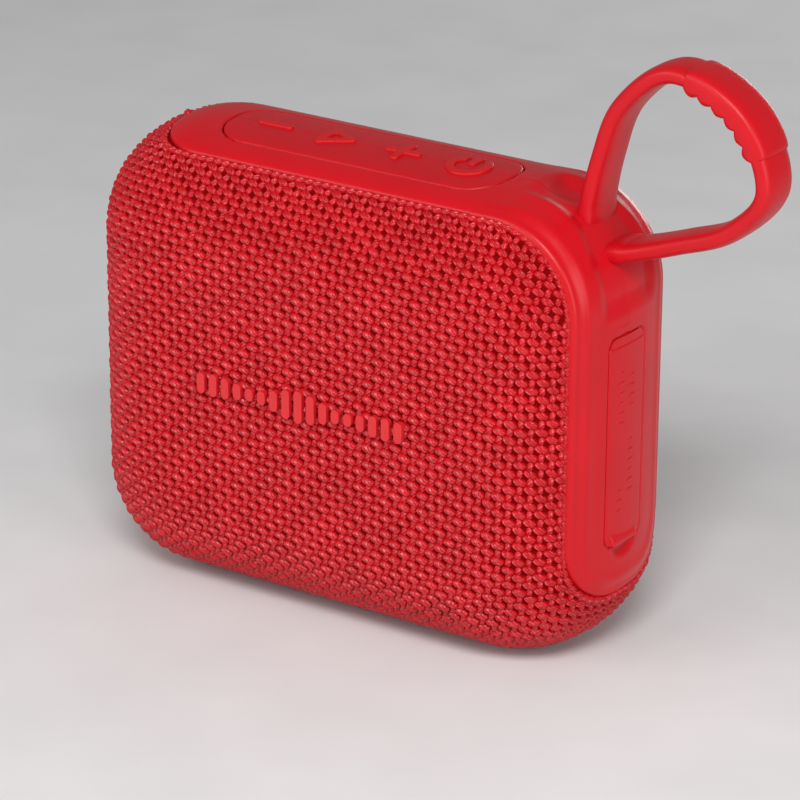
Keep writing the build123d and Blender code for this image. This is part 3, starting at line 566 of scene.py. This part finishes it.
def plied_float(half_long, half_wide, tilt, stroke, pitch, rise, relief, shape):
    """A raised oval of plied yarn: its points in the cloth, their heights and their places along the plies.

    The oval leans by tilt and its plies run along stroke, both in degrees. It stands up by rise, and each
    ply, a pitch apart, by relief more. shape is its number of points across and along the plies.
    """
    turn, way = np.radians(tilt), np.radians(stroke)
    angle = np.linspace(0, 2 * np.pi, 400, endpoint=False)
    squarer = lambda v: np.sign(v) * np.abs(v) ** 0.8
    ox, oy = half_long * squarer(np.cos(angle)), half_wide * squarer(np.sin(angle))
    u, v = ox * np.cos(turn) - oy * np.sin(turn), ox * np.sin(turn) + oy * np.cos(turn)
    across, along = -u * np.sin(way) + v * np.cos(way), u * np.cos(way) + v * np.sin(way)
    low = int(across.argmin())
    across, along = np.roll(across, -low), np.roll(along, -low)
    top = int(across.argmax())
    limit = across[top] * 0.985
    w = np.linspace(-limit, limit, shape[0])
    one = np.interp(w, across[:top + 1], along[:top + 1])
    other = np.interp(w, across[top:][::-1], along[top:][::-1])
    share = (1 - np.cos(np.linspace(0, 1, shape[1]) * np.pi)) / 2
    t = one[:, None] + (other - one)[:, None] * share
    w = w[:, None] + 0 * t
    u, v = t * np.cos(way) - w * np.sin(way), t * np.sin(way) + w * np.cos(way)
    x, y = u * np.cos(turn) + v * np.sin(turn), -u * np.sin(turn) + v * np.cos(turn)
    out = np.clip(np.abs(x / half_long) ** 2.5 + np.abs(y / half_wide) ** 2.5, 0, 1)
    ply = 0.5 + 0.5 * np.cos(2 * np.pi * w / pitch)
    return u, v, (1 - out) ** 0.5 * (rise + relief * ply), t, w


def grains(cells, template):
    """One float in each cell, each slightly different from its neighbours."""
    u, v, high, t, w = (field[None] for field in template)
    count = len(cells)
    vary = lambda spread: rng.normal(0, spread, (count, 1, 1))
    turn, size = vary(0.06), 1 + vary(0.03)
    centre = cells + rng.normal(0, 0.03, (count, 2))
    uu = centre[:, 0, None, None] + size * (u * np.cos(turn) - v * np.sin(turn))
    vv = centre[:, 1, None, None] + size * (u * np.sin(turn) + v * np.cos(turn))
    seed = rng.uniform(0, 40, (count, 1, 1))
    return uu, vv, high + vary(0.03) + YARN_LOW, np.stack([seed + w, seed + t], -1)


def yarn_pieces(name, points, uv):
    """Meshes of many floats, split so that none is too heavy."""
    rows, columns = points.shape[1:3]
    quads = grid_faces(rows, columns)
    parts = int(np.ceil(len(points) * len(quads) * 2 / HEAVIEST))
    chunks = zip(np.array_split(points, parts), np.array_split(uv, parts))
    for number, (chunk, chunk_uv) in enumerate(chunks, 1):
        faces = (quads[None] + (np.arange(len(chunk)) * rows * columns)[:, None, None]).reshape(-1, 4)
        piece = mesh_object(f"knit_{name}_{number}", chunk.reshape(-1, 3), faces, chunk_uv.reshape(-1, 2))
        knit_pieces.append(dress(piece, "speaker_body", yarn, "knit_fabric"))


front_cloth = Unrolled(-1)
back_cloth = Unrolled(1)
knit_pieces = []
LONG = plied_float(
    half_long=1.26, half_wide=0.71, tilt=-21, stroke=-46, pitch=0.56, rise=0.70, relief=0.34, shape=(18, 9),
)
SHORT = plied_float(
    half_long=0.84, half_wide=0.61, tilt=70, stroke=34, pitch=0.62, rise=0.60, relief=0.28, shape=(12, 8),
)
for side, cloth, where in ((-1, front_cloth, "front"), (1, back_cloth, "back")):
    columns, rows = np.arange(-CELLS_ACROSS, CELLS_ACROSS + 1), np.arange(-CELLS_UP, CELLS_UP + 1)
    i, j = np.meshgrid(columns, rows, indexing="ij")
    cells = np.stack([i.ravel() * COLUMN, j.ravel() * ROW], -1)
    p, _ = cloth.at(cells[:, 0], cells[:, 1])
    keep = (band_gap(p) > BAND_CLEAR) & (foot_gap(p) > FOOT_CLEAR) & (side * (p[:, 1] - SEAM_Y) > 0)
    for name, odd, template in (("long", 0, LONG), ("short", 1, SHORT)):
        u, v, high, uv = grains(cells[keep & ((i + j) % 2 == odd).ravel()], template)
        p, n = cloth.at(u, v)
        yarn_pieces(f"{where}_{name}", p + n * (high - tuck(p))[..., None], uv)

# a chain of loops along the band's edge
LOOP_OFFSET = 0.55
LOOP_PITCH = 1.62
run_low = BAND_START_X - CORNER_X - LOOP_OFFSET
run_high = ARC + CORNER_Z - BAND_LOW_Z + LOOP_OFFSET
half_run, half_across = (run_high - run_low) / 2, BAND_HALF + LOOP_OFFSET
edge_line = rounded_outline(half_run, half_across, BAND_END + LOOP_OFFSET, 400, 40)
edge_line = np.concatenate([edge_line, edge_line[:1]]) + [(run_low + run_high) / 2, BAND_CENTRE]
placed = form_point(edge_line[:, 0], edge_line[:, 1])
length = np.concatenate([[0], np.cumsum(np.linalg.norm(np.diff(placed, axis=0), axis=1))])
stations = np.linspace(0, length[-1], int(length[-1] / LOOP_PITCH), endpoint=False)
run, y = (np.interp(stations, length, edge_line[:, k]) for k in (0, 1))
ahead = [np.interp(stations + 0.1, length, edge_line[:, k]) for k in (0, 1)]
p, normal, _ = form_frame(run, y)
along = form_point(*ahead) - p
along -= normal * (along * normal).sum(-1, keepdims=True)
along /= np.linalg.norm(along, axis=-1, keepdims=True)
LOOP = plied_float(
    half_long=1.12, half_wide=0.64, tilt=14, stroke=40, pitch=0.50, rise=0.78, relief=0.28, shape=(14, 8),
)
u, v, high, uv = grains(np.zeros((len(p), 2)), LOOP)
sideways = np.cross(normal, along)
spread = p[:, None, None] + along[:, None, None] * u[..., None] + sideways[:, None, None] * v[..., None]
sunk = high - tuck(p)[:, None, None]
yarn_pieces("edge", spread + normal[:, None, None] * sunk[..., None], uv)


def scrim_points(cloth, side, step):
    """The backing under the yarns, as a grid of points and the quads that show."""
    half_u, half_v = CLOTH_HALF_U - 3, CLOTH_HALF_V - 3
    us = np.arange(-half_u, half_u + 0.1, step)
    vs = np.arange(-half_v, half_v + 0.1, step)
    u, v = np.meshgrid(us, vs, indexing="ij")
    p, n = cloth.at(u, v)
    shown = np.minimum(band_gap(p), foot_gap(p)) > -SCRIM_UNDER
    shown &= -side * (SEAM_Y - side * SEAM_OVERLAP - p[..., 1]) > 0
    quads = grid_faces(len(us), len(vs))
    depth = np.minimum(SCRIM_DEPTH + tuck(p), SCRIM_DEEPEST)
    return (p - n * depth[..., None]).reshape(-1, 3), quads[shown.ravel()[quads].all(axis=1)]


front_points, front_quads = scrim_points(front_cloth, -1, SCRIM_STEP)
back_points, back_quads = scrim_points(back_cloth, 1, SCRIM_STEP)
all_points = np.concatenate([front_points, back_points])
all_quads = np.concatenate([front_quads, back_quads + len(front_points)])
used, fresh = np.unique(all_quads, return_inverse=True)
cover = mesh_object("cover_cloth", all_points[used], fresh.reshape(-1, 4))
dress(cover, "speaker_body", scrim, "knit_fabric", "fabric_cover")
for piece in knit_pieces:
    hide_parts("fabric_cover")

# ---------------------------------------------------------------- the silicone band
SADDLE_RUN = (-3.4, 29.6)      # the saddle's own surface along the outline, and to each side of the middle
SADDLE_HALF = 11.0
SADDLE_CLEAR = 2.9             # how far the band is pushed in under that surface
EDGE_SOFT = 1.1                # the width of the softened strip along the band's edge
EDGE_PULL = 0.55
EDGE_ROUNDS = 8
RIM_CREST = (2.6, 1.2, 0.30)   # the rim's crest: how far in from the edge it is, its half width, its height
RIM_EDGE = (0.7, 0.35)         # the edge: its half width and height where the rim stands up
FLUSH_EDGE = (0.8, -0.15)      # and where it lies flush
MIDDLE_HALF_X = 31.0           # the flat rectangle that the band's outer faces look away from
MIDDLE_LOW_Z = 17.0
MIDDLE_HIGH_Z = 61.0
NOTCH_AT = (0.1, 20.4)         # the finger notch under the port's cover: its middle in Y and Z
NOTCH_HALF = (3.9, 2.3)
NOTCH_DEPTH = 0.8
END_FACE_X = 44.0              # the band's end face lies beyond this


def run_of(p):
    """The distance along the outline from the start of the top right corner."""
    dx, dz = p[..., 0] - CORNER_X, p[..., 2] - CORNER_Z
    on_arc = CORNER * np.arctan2(np.maximum(dx, 0), np.maximum(dz, 1e-6))
    return np.where(dz <= 0, ARC - dz, np.where(dx <= 0, dx, on_arc))


def rim_height(p):
    """How far the band's rim stands up, by the distance in from its edge."""
    inside = -band_gap(p)
    crest = RIM_CREST[2] * np.exp(-(((inside - RIM_CREST[0]) / RIM_CREST[1]) ** 2))
    edge = RIM_EDGE[1] * np.exp(-((inside / RIM_EDGE[0]) ** 2))
    flush = FLUSH_EDGE[1] * np.exp(-((inside / FLUSH_EDGE[0]) ** 2))
    return (crest + edge) * rim_share(p) + flush * (1 - rim_share(p))


def saddle_mask(p):
    """1 well inside the part of the band that the saddle's own surface stands for."""
    run = run_of(p)
    along = np.minimum(run - SADDLE_RUN[0], SADDLE_RUN[1] - run)
    inside = np.minimum(along, SADDLE_HALF - np.abs(p[..., 1] - BAND_CENTRE))
    return smoothstep(0.3, 1.3, inside)


band = remeshed("trim_band", "trim_silicone", 0.30)
relax(band.data, EDGE_PULL * np.exp(-((band_gap(coords(band.data)) / EDGE_SOFT) ** 2)), EDGE_ROUNDS)
p = coords(band.data)
outward = normals(band.data).astype(float)
nearest_x = np.clip(p[:, 0], -MIDDLE_HALF_X, MIDDLE_HALF_X)
nearest_z = np.clip(p[:, 2], MIDDLE_LOW_Z, MIDDLE_HIGH_Z)
nearest = np.stack([nearest_x, np.zeros(len(p)), nearest_z], -1)
facing = (outward * (p - nearest)).sum(1) > 0
push = SADDLE_CLEAR * saddle_mask(p)
corner_way = np.maximum(p[:, [0, 2]] - [CORNER_X, CORNER_Z], 0)
corner_way = corner_way / np.maximum(np.linalg.norm(corner_way, axis=1), 1e-6)[:, None]
moved = p + outward * (rim_height(p) * facing)[:, None]
moved[:, [0, 2]] -= corner_way * push[:, None]
from_notch = (p[:, 1:] - NOTCH_AT) / NOTCH_HALF
notch = 1 - smoothstep(0.35, 1.0, np.hypot(*from_notch.T))
moved[:, 0] -= NOTCH_DEPTH * notch * (p[:, 0] > END_FACE_X)
set_coords(band.data, moved)
dress(band, "speaker_body", silicone, "silicone", "trim_band")

# ---------------------------------------------------------------- keypad, keys and port cover
PAD = (-0.7, 27.0, 7.42, 6.3)           # the pad's centre in X, half length, half width and corner radius


def pad_rings():
    """The keypad's top as rings drawn in from its outline, with a rounded edge."""
    centre, half_x, half_y, radius = PAD
    edge = [(0.0, 1.7), (0.0, 0.5), (0.04, 0.28), (0.12, 0.14), (0.25, 0.05)]
    level = [(drawn_in, 0.0) for drawn_in in (0.45, 0.9, 1.6, 2.6, 3.8, 5.0, 6.1, 6.9)]
    rings = []
    for drawn_in, drop in edge + level:
        x, y = rounded_outline(half_x - drawn_in, half_y - drawn_in, max(radius - drawn_in, 0.005)).T
        rings.append(np.stack([centre + x, y, top_z(centre + x, y) - drop], -1))
    return np.array(rings)


rings = pad_rings()
count = rings.shape[1]
last = (len(rings) - 1) * count + np.arange(count)
middle = np.array([[PAD[0], 0, top_z(PAD[0], 0)]])
quads = grid_faces(len(rings), count, closed=True)
cap = np.stack([last, np.roll(last, -1), np.full(count, len(rings) * count)], -1)
pad = mesh_object("keypad_silicone", np.concatenate([rings.reshape(-1, 3), middle]),
                  np.concatenate([quads[:, [0, 1, 2]], quads[:, [0, 2, 3]], cap]))
MARK_LOWERED = 0.12            # the marks stand a little less proud than in the CAD
key_middles = {}
for kind in ("minus", "play", "plus", "power"):
    key = remeshed(f"key_{kind}", f"{kind}_mark", 0.11, 3)
    p = coords(key.data)
    proud = p[:, 2] - top_z(p[:, 0], p[:, 1])
    p[:, 2] -= MARK_LOWERED * smoothstep(0.0, 0.3, proud)
    set_coords(key.data, p)
    dress(key, f"{kind}_key", lit_mark_silicone, "key_rubber", f"key_{kind}")
    key_middles[kind] = (p[:, 0].min() + p[:, 0].max()) / 2

# the pad is one rubber skin, cut across into a left and a right part for each key
DIP_STEP = 0.8                 # the spacing of further cuts across the pad
kinds = sorted(key_middles, key=key_middles.get)
middles = [key_middles[kind] for kind in kinds]
halfway = [(a + b) / 2 for a, b in zip(middles, middles[1:])]
seams = sorted(middles + halfway)
skin = bmesh.new()
skin.from_mesh(pad.data)
bends = list(np.arange(PAD[0] - PAD[1], PAD[0] + PAD[1], DIP_STEP))
for cut in sorted(bends + seams):
    bmesh.ops.bisect_plane(skin, geom=skin.verts[:] + skin.edges[:] + skin.faces[:], dist=1e-7,
                           plane_co=(cut * MM, 0, 0), plane_no=(1, 0, 0))
bmesh.ops.triangulate(skin, faces=skin.faces[:])
skin.verts.index_update()
skin_points = np.array([v.co for v in skin.verts]) / MM
skin_faces = np.array([[v.index for v in f.verts] for f in skin.faces])
skin.free()
bpy.data.objects.remove(pad)
face_x = skin_points[skin_faces][:, :, 0].mean(1)
limits = [PAD[0] - PAD[1] - 1.0] + seams + [PAD[0] + PAD[1] + 1.0]
for k, (low, high) in enumerate(zip(limits, limits[1:])):
    kind = kinds[k // 2]
    side = -1 if k % 2 == 0 else 1
    chosen = skin_faces[(face_x > low) & (face_x < high)]
    used, renumbered = np.unique(chosen, return_inverse=True)
    name = f"keypad_{kind}_{'left' if side < 0 else 'right'}"
    part = mesh_object(name, skin_points[used], renumbered.reshape(-1, 3))
    part.data.materials.append(key_silicone)
    x, z = key_middles[kind], top_z(PAD[0], 0) * MM
    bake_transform(part)
    if k == 0:
        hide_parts("keypad_pad")

# the port's cover, grown a little so that it nearly fills its opening
FLAP_GROWN = [0.03, 0.17, 0.17]
flap = remeshed("port_cover", "port_flap_silicone", 0.16, 3)
set_coords(flap.data, coords(flap.data) + normals(flap.data) * FLAP_GROWN)
dress(flap, "port_flap", silicone, "silicone", "port_cover")

# the soft lip round the port's opening, which nearly fills the gap round the cover
FLAP = (0.1, 38.55, 4.7, 17.55, 1.7)    # the cover's middle in Y and Z, half width, half height and radius


def side_x(y):
    """The form's right side at y."""
    return HALF_WIDTH - inset(np.asarray(y, float))


lip_rings = []
for grown, deep in ((-0.35, 1.6), (-0.30, 0.40), (0.0, 0.32), (0.30, 0.30), (0.60, 0.55)):
    z, y = rounded_outline(FLAP[3] + grown, FLAP[2] + grown, FLAP[4] + grown).T
    lip_rings.append(np.stack([side_x(y + FLAP[0]) - deep, y + FLAP[0], z + FLAP[1]], -1))
lip_rings = np.array(lip_rings)
lip_faces = grid_faces(len(lip_rings), lip_rings.shape[1], closed=True)
lip = mesh_object("port_lip", lip_rings.reshape(-1, 3), lip_faces)
dress(lip, "speaker_body", silicone, "silicone")

# plain raised marks on the cover: two columns of low dashes
BAR_HIGH = 0.17
BAR_PITCH = 1.7
BAR_COLUMNS = ((-1.5, 50.0, 6), (1.4, 49.0, 4), (1.4, 38.0, 6), (-1.5, 30.0, 3))       # Y, top Z and number
mark_points, mark_faces = [], []


def raise_bar(y, z, half_y, half_z, radius):
    """A low raised bar with rounded ends on the cover."""
    start = sum(len(part) for part in mark_points)
    rings = []
    profile = ((0.0, 0.03), (0.03, 0.13), (0.10, BAR_HIGH), (min(half_y, half_z) - 0.01, BAR_HIGH))
    for drawn_in, high in profile:
        r = max(radius - drawn_in, 0.004)
        bz, by = rounded_outline(half_z - drawn_in, half_y - drawn_in, r, 6, 6).T
        rings.append(np.stack([side_x(by + y) + high, by + y, bz + z], -1))
    rings = np.array(rings)
    mark_points.append(rings.reshape(-1, 3))
    mark_faces.append(grid_faces(len(rings), rings.shape[1], closed=True) + start)


for column, first, count in BAR_COLUMNS:
    for k in range(count):
        raise_bar(column, first - k * BAR_PITCH, half_y=0.75 if k % 3 else 0.5, half_z=0.28, radius=0.2)
marks = mesh_object("port_flap_marks", np.concatenate(mark_points), np.concatenate(mark_faces))
dress(marks, "port_flap", silicone, "silicone")

# ---------------------------------------------------------------- the saddle that the strap's legs stand in
STEP_WIDE = 2.8                # the slope down into the hollow
STEP_DEEP = 0.9
BOWL_DEEP = 0.9
BOWL_AT = (3.9, 2.6)           # the bowl round the upper leg: its middle along the outline and in Y
BOWL_HALF = (5.2, 5.4)
SKIN = 0.03                    # how far the saddle's surface lies over the form

runs = np.linspace(*SADDLE_RUN, 150)
ys = np.linspace(-SADDLE_HALF, SADDLE_HALF, 100) + BAND_CENTRE
run, y = np.meshgrid(runs, ys, indexing="ij")
p, normal, _ = form_frame(run, y)
front_edge = np.interp(run, [-1, 6, 10, 13, 17, 19, 27], [-5.0, -5.2, -5.6, -6.6, -7.3, -7.6, -7.2])
back_edge = 2 * BAND_CENTRE - front_edge
step = smoothstep(0.0, STEP_WIDE, y - front_edge) * smoothstep(0.0, STEP_WIDE, back_edge - y)
step = step * smoothstep(-1.2, 2.2, run) * (1 - smoothstep(24.5, 28.3, run))
bowl = 1 - smoothstep(0.1, 1.0, np.hypot((run - BOWL_AT[0]) / BOWL_HALF[0], (y - BOWL_AT[1]) / BOWL_HALF[1]))
lift = rim_height(p) + SKIN - (STEP_DEEP * step + BOWL_DEEP * bowl)
saddle = mesh_object("saddle_surface", (p + normal * lift[..., None]).reshape(-1, 3), grid_faces(*run.shape))
dress(saddle, "speaker_body", silicone, "silicone")

# ---------------------------------------------------------------- the strap
STATIONS = 600
GRIP = (0.399, 0.580)          # the grip's start and end, as shares of the strap's length
GRIP_MIDDLE = sum(GRIP) / 2
RIBS = 6
LEG_HALF_THICK = 1.62
STRAP_HALF_WIDE = 3.5
GRIP_HALF_WIDE = 4.05
GRIP_INNER = 1.4               # the grip's thickness towards the loop's inside, without its ribs
GRIP_OUTER = 1.55
RIB_HIGH = 0.85


def curve_through(points, count):
    """A centripetal Catmull-Rom curve through the points, evenly spaced, and the distance walked along it."""
    points = np.asarray(points, float)
    ends = np.concatenate([[2 * points[0] - points[1]], points, [2 * points[-1] - points[-2]]])
    out = []
    for k in range(1, len(ends) - 2):
        p0, p1, p2, p3 = ends[k - 1:k + 3]
        t0 = 0.0
        t1 = t0 + np.linalg.norm(p1 - p0) ** 0.5
        t2 = t1 + np.linalg.norm(p2 - p1) ** 0.5
        t3 = t2 + np.linalg.norm(p3 - p2) ** 0.5
        t = np.linspace(t1, t2, 60, endpoint=False)[:, None]
        a1 = (t1 - t) / (t1 - t0) * p0 + (t - t0) / (t1 - t0) * p1
        a2 = (t2 - t) / (t2 - t1) * p1 + (t - t1) / (t2 - t1) * p2
        a3 = (t3 - t) / (t3 - t2) * p2 + (t - t2) / (t3 - t2) * p3
        b1 = (t2 - t) / (t2 - t0) * a1 + (t - t0) / (t2 - t0) * a2
        b2 = (t3 - t) / (t3 - t1) * a2 + (t - t1) / (t3 - t1) * a3
        out.append((t2 - t) / (t2 - t1) * b1 + (t - t1) / (t2 - t1) * b2)
    out.append(points[-1:])
    line = np.concatenate(out)
    walked = np.concatenate([[0], np.cumsum(np.linalg.norm(np.diff(line, axis=0), axis=1))])
    even = np.linspace(0, walked[-1], count)
    return np.stack([np.interp(even, walked, line[:, k]) for k in range(2)], -1), even


route = [(39.9, 70.0), (40.3, 75.2), (42.4, 84.0), (46.2, 93.2), (54.9, 99.8), (67.0, 94.9),
         (71.6, 83.8), (65.8, 76.6), (56.6, 72.6), (47.6, 69.5), (42.0, 68.4)]
line, walked = curve_through(route, STATIONS)
tangent = np.gradient(line, axis=0)
tangent /= np.linalg.norm(tangent, axis=1, keepdims=True)
side_way = np.stack([tangent[:, 1], -tangent[:, 0]], -1)       # towards the loop's inside


def swept(name, start, end, half_wide, inner, outer, power=3.0, count=32, step=3):
    """A strap along the route between two shares of it; its sizes depend on the distance walked."""
    pick = np.arange(int(start * (STATIONS - 1)), int(end * (STATIONS - 1)) + 1, step)
    a = np.linspace(0, 2 * np.pi, count, endpoint=False)
    y = np.sign(np.cos(a)) * np.abs(np.cos(a)) ** (2 / power)
    n = np.sign(np.sin(a)) * np.abs(np.sin(a)) ** (2 / power)
    rings = []
    for k in pick:
        off = n * np.where(n > 0, inner(k), outer(k))
        rings.append(np.stack([line[k, 0] + side_way[k, 0] * off, strap_y(k) + y * half_wide(k),
                               line[k, 1] + side_way[k, 1] * off], -1))
    rings = np.array(rings)
    points = np.concatenate([rings.reshape(-1, 3), rings[:1].mean(1), rings[-1:].mean(1)])
    quads = grid_faces(len(rings), count, closed=True)
    ring = np.arange(count)
    last = (len(rings) - 1) * count
    first_cap = np.stack([np.full(count, len(points) - 2), np.roll(ring, -1), ring], -1)
    last_cap = np.stack([np.full(count, len(points) - 1), last + ring, last + np.roll(ring, -1)], -1)
    faces = np.concatenate([quads[:, [0, 1, 2]], quads[:, [0, 2, 3]], first_cap, last_cap])
    return mesh_object(name, points, faces)


def from_end(k):
    """The distance along the strap to its nearer end."""
    return min(walked[k], walked[-1] - walked[k])


def fade(k, low, high):
    """1 within low of the strap's ends, falling to 0 at high."""
    return 1 - float(smoothstep(low, high, from_end(k)))


def strap_y(k):
    """The strap's middle in Y, a little further back at its roots."""
    return 1.3 + 1.0 * fade(k, 4, 26)


def swell(k):
    """1 in the middle of the grip, falling to 0 beyond its ends."""
    return float(np.exp(-(((walked[k] / walked[-1] - GRIP_MIDDLE) / 0.24) ** 2)))


def grip_share(k):
    """0 at the grip's start and 1 at its end."""
    return (k / (STATIONS - 1) - GRIP[0]) / (GRIP[1] - GRIP[0])


def grip_end(k, sharpness):
    """1 along the grip, rounding off at its ends."""
    return float(np.clip(1 - abs(2 * grip_share(k) - 1) ** sharpness, 0, 1)) ** 0.5


def half_thick(k):
    """The strap's half thickness, a little more at its roots."""
    return LEG_HALF_THICK + 0.25 * fade(k, 4.3, 6.0)


def rib(k):
    """0 between two of the grip's finger ribs and 1 on top of one."""
    return abs(math.sin(math.pi * RIBS * grip_share(k))) ** 0.8


strap = swept(
    "strap_band", 0.0, 1.0,
    half_wide=lambda k: STRAP_HALF_WIDE + 1.0 * math.exp(-max(from_end(k) - 4.5, 0) / 13) + 0.75 * swell(k),
    inner=half_thick,
    outer=half_thick,
)
grip = swept(
    "strap_grip", *GRIP,
    half_wide=lambda k: GRIP_HALF_WIDE + 0.35 * grip_end(k, 6),
    inner=lambda k: GRIP_INNER + (0.35 + RIB_HIGH * rib(k)) * grip_end(k, 20),
    outer=lambda k: GRIP_OUTER + 0.50 * grip_end(k, 10),
    power=4.0, step=1,
)
strap.data.materials.append(strap_silicone)
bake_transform(strap)
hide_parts("strap_loop", "strap_root")
dress(grip, "strap", strap_silicone, "silicone")

# ---------------------------------------------------------------- floor, light and camera
floor_mesh = bpy.data.meshes.new("floor")
reach = 3.0                    # in metres, like the lights' places and sizes
floor_corners = [(-reach, -reach, 0), (reach, -reach, 0), (reach, reach, 0), (-reach, reach, 0)]
floor_mesh.from_pydata(floor_corners, [], [(0, 1, 2, 3)])
floor = bpy.data.objects.new("floor", floor_mesh)
bpy.context.scene.collection.objects.link(floor)
paper = Shader("studio_paper")
paper.colour(paper.ramp(paper.noise(40, 2), [(0.3, (0.74, 0.74, 0.745)), (0.7, (0.78, 0.78, 0.785))]))
paper.set(Roughness=0.85)
floor.data.materials.append(paper.material)

world = bpy.data.worlds.new("studio")
world.use_nodes = True
world.node_tree.nodes["Background"].inputs["Color"].default_value = (1.0, 0.98, 0.97, 1)
world.node_tree.nodes["Background"].inputs["Strength"].default_value = 0.24
bpy.context.scene.world = world
bpy.context.scene.view_settings.view_transform = "Standard"


def softbox(name, place, wide, high, power):
    """A rectangular light at a place in metres, turned to the middle of the speaker."""
    data = bpy.data.lights.new(name, "AREA")
    data.shape = "RECTANGLE"
    data.size, data.size_y, data.energy = wide, high, power
    lamp = bpy.data.objects.new(name, data)
    bpy.context.scene.collection.objects.link(lamp)
    lamp.location = place
    lamp.rotation_mode = "QUATERNION"
    lamp.rotation_quaternion = (AIM - Vector(place)).to_track_quat("-Z", "Y")


AIM = Vector((0.0, 0.0, 0.045))
softbox("key_light", (0.30, -0.48, 0.56), wide=0.30, high=0.22, power=3.7)
softbox("fill_light", (-0.30, -0.60, 0.34), wide=0.50, high=0.40, power=2.0)
softbox("side_light", (0.62, -0.20, 0.20), wide=0.30, high=0.40, power=1.5)
softbox("back_light", (-0.10, 0.72, 0.10), wide=0.26, high=0.20, power=0.8)

# the camera's swing to the right, its lift and its roll in radians, its distance, and its shift sideways
# and up off the middle of the speaker
swing = 0.589
tilt_up = 0.377
roll = 0.006
distance = 648.7
shift_right = 4.26
shift_up = -4.42
level = math.cos(tilt_up)
back = np.array([math.sin(swing) * level, -math.cos(swing) * level, math.sin(tilt_up)])
right = np.array([math.cos(swing), math.sin(swing), 0.0])
up = np.cross(back, right)
across = math.cos(roll) * right + math.sin(roll) * up
upward = -math.sin(roll) * right + math.cos(roll) * up
place = np.array([0, 0, MID_Z]) + back * distance + right * shift_right + up * shift_up
camera = bpy.data.objects.new("camera", bpy.data.cameras.new("camera"))
bpy.context.scene.collection.objects.link(camera)
camera.data.sensor_width = 36.0
camera.data.lens = 178.2
camera.data.clip_start, camera.data.clip_end = 0.01, 10.0
axes = [[across[k], upward[k], back[k], place[k] * MM] for k in range(3)]
camera.matrix_world = Matrix(axes + [[0, 0, 0, 1]])
bpy.context.scene.camera = camera
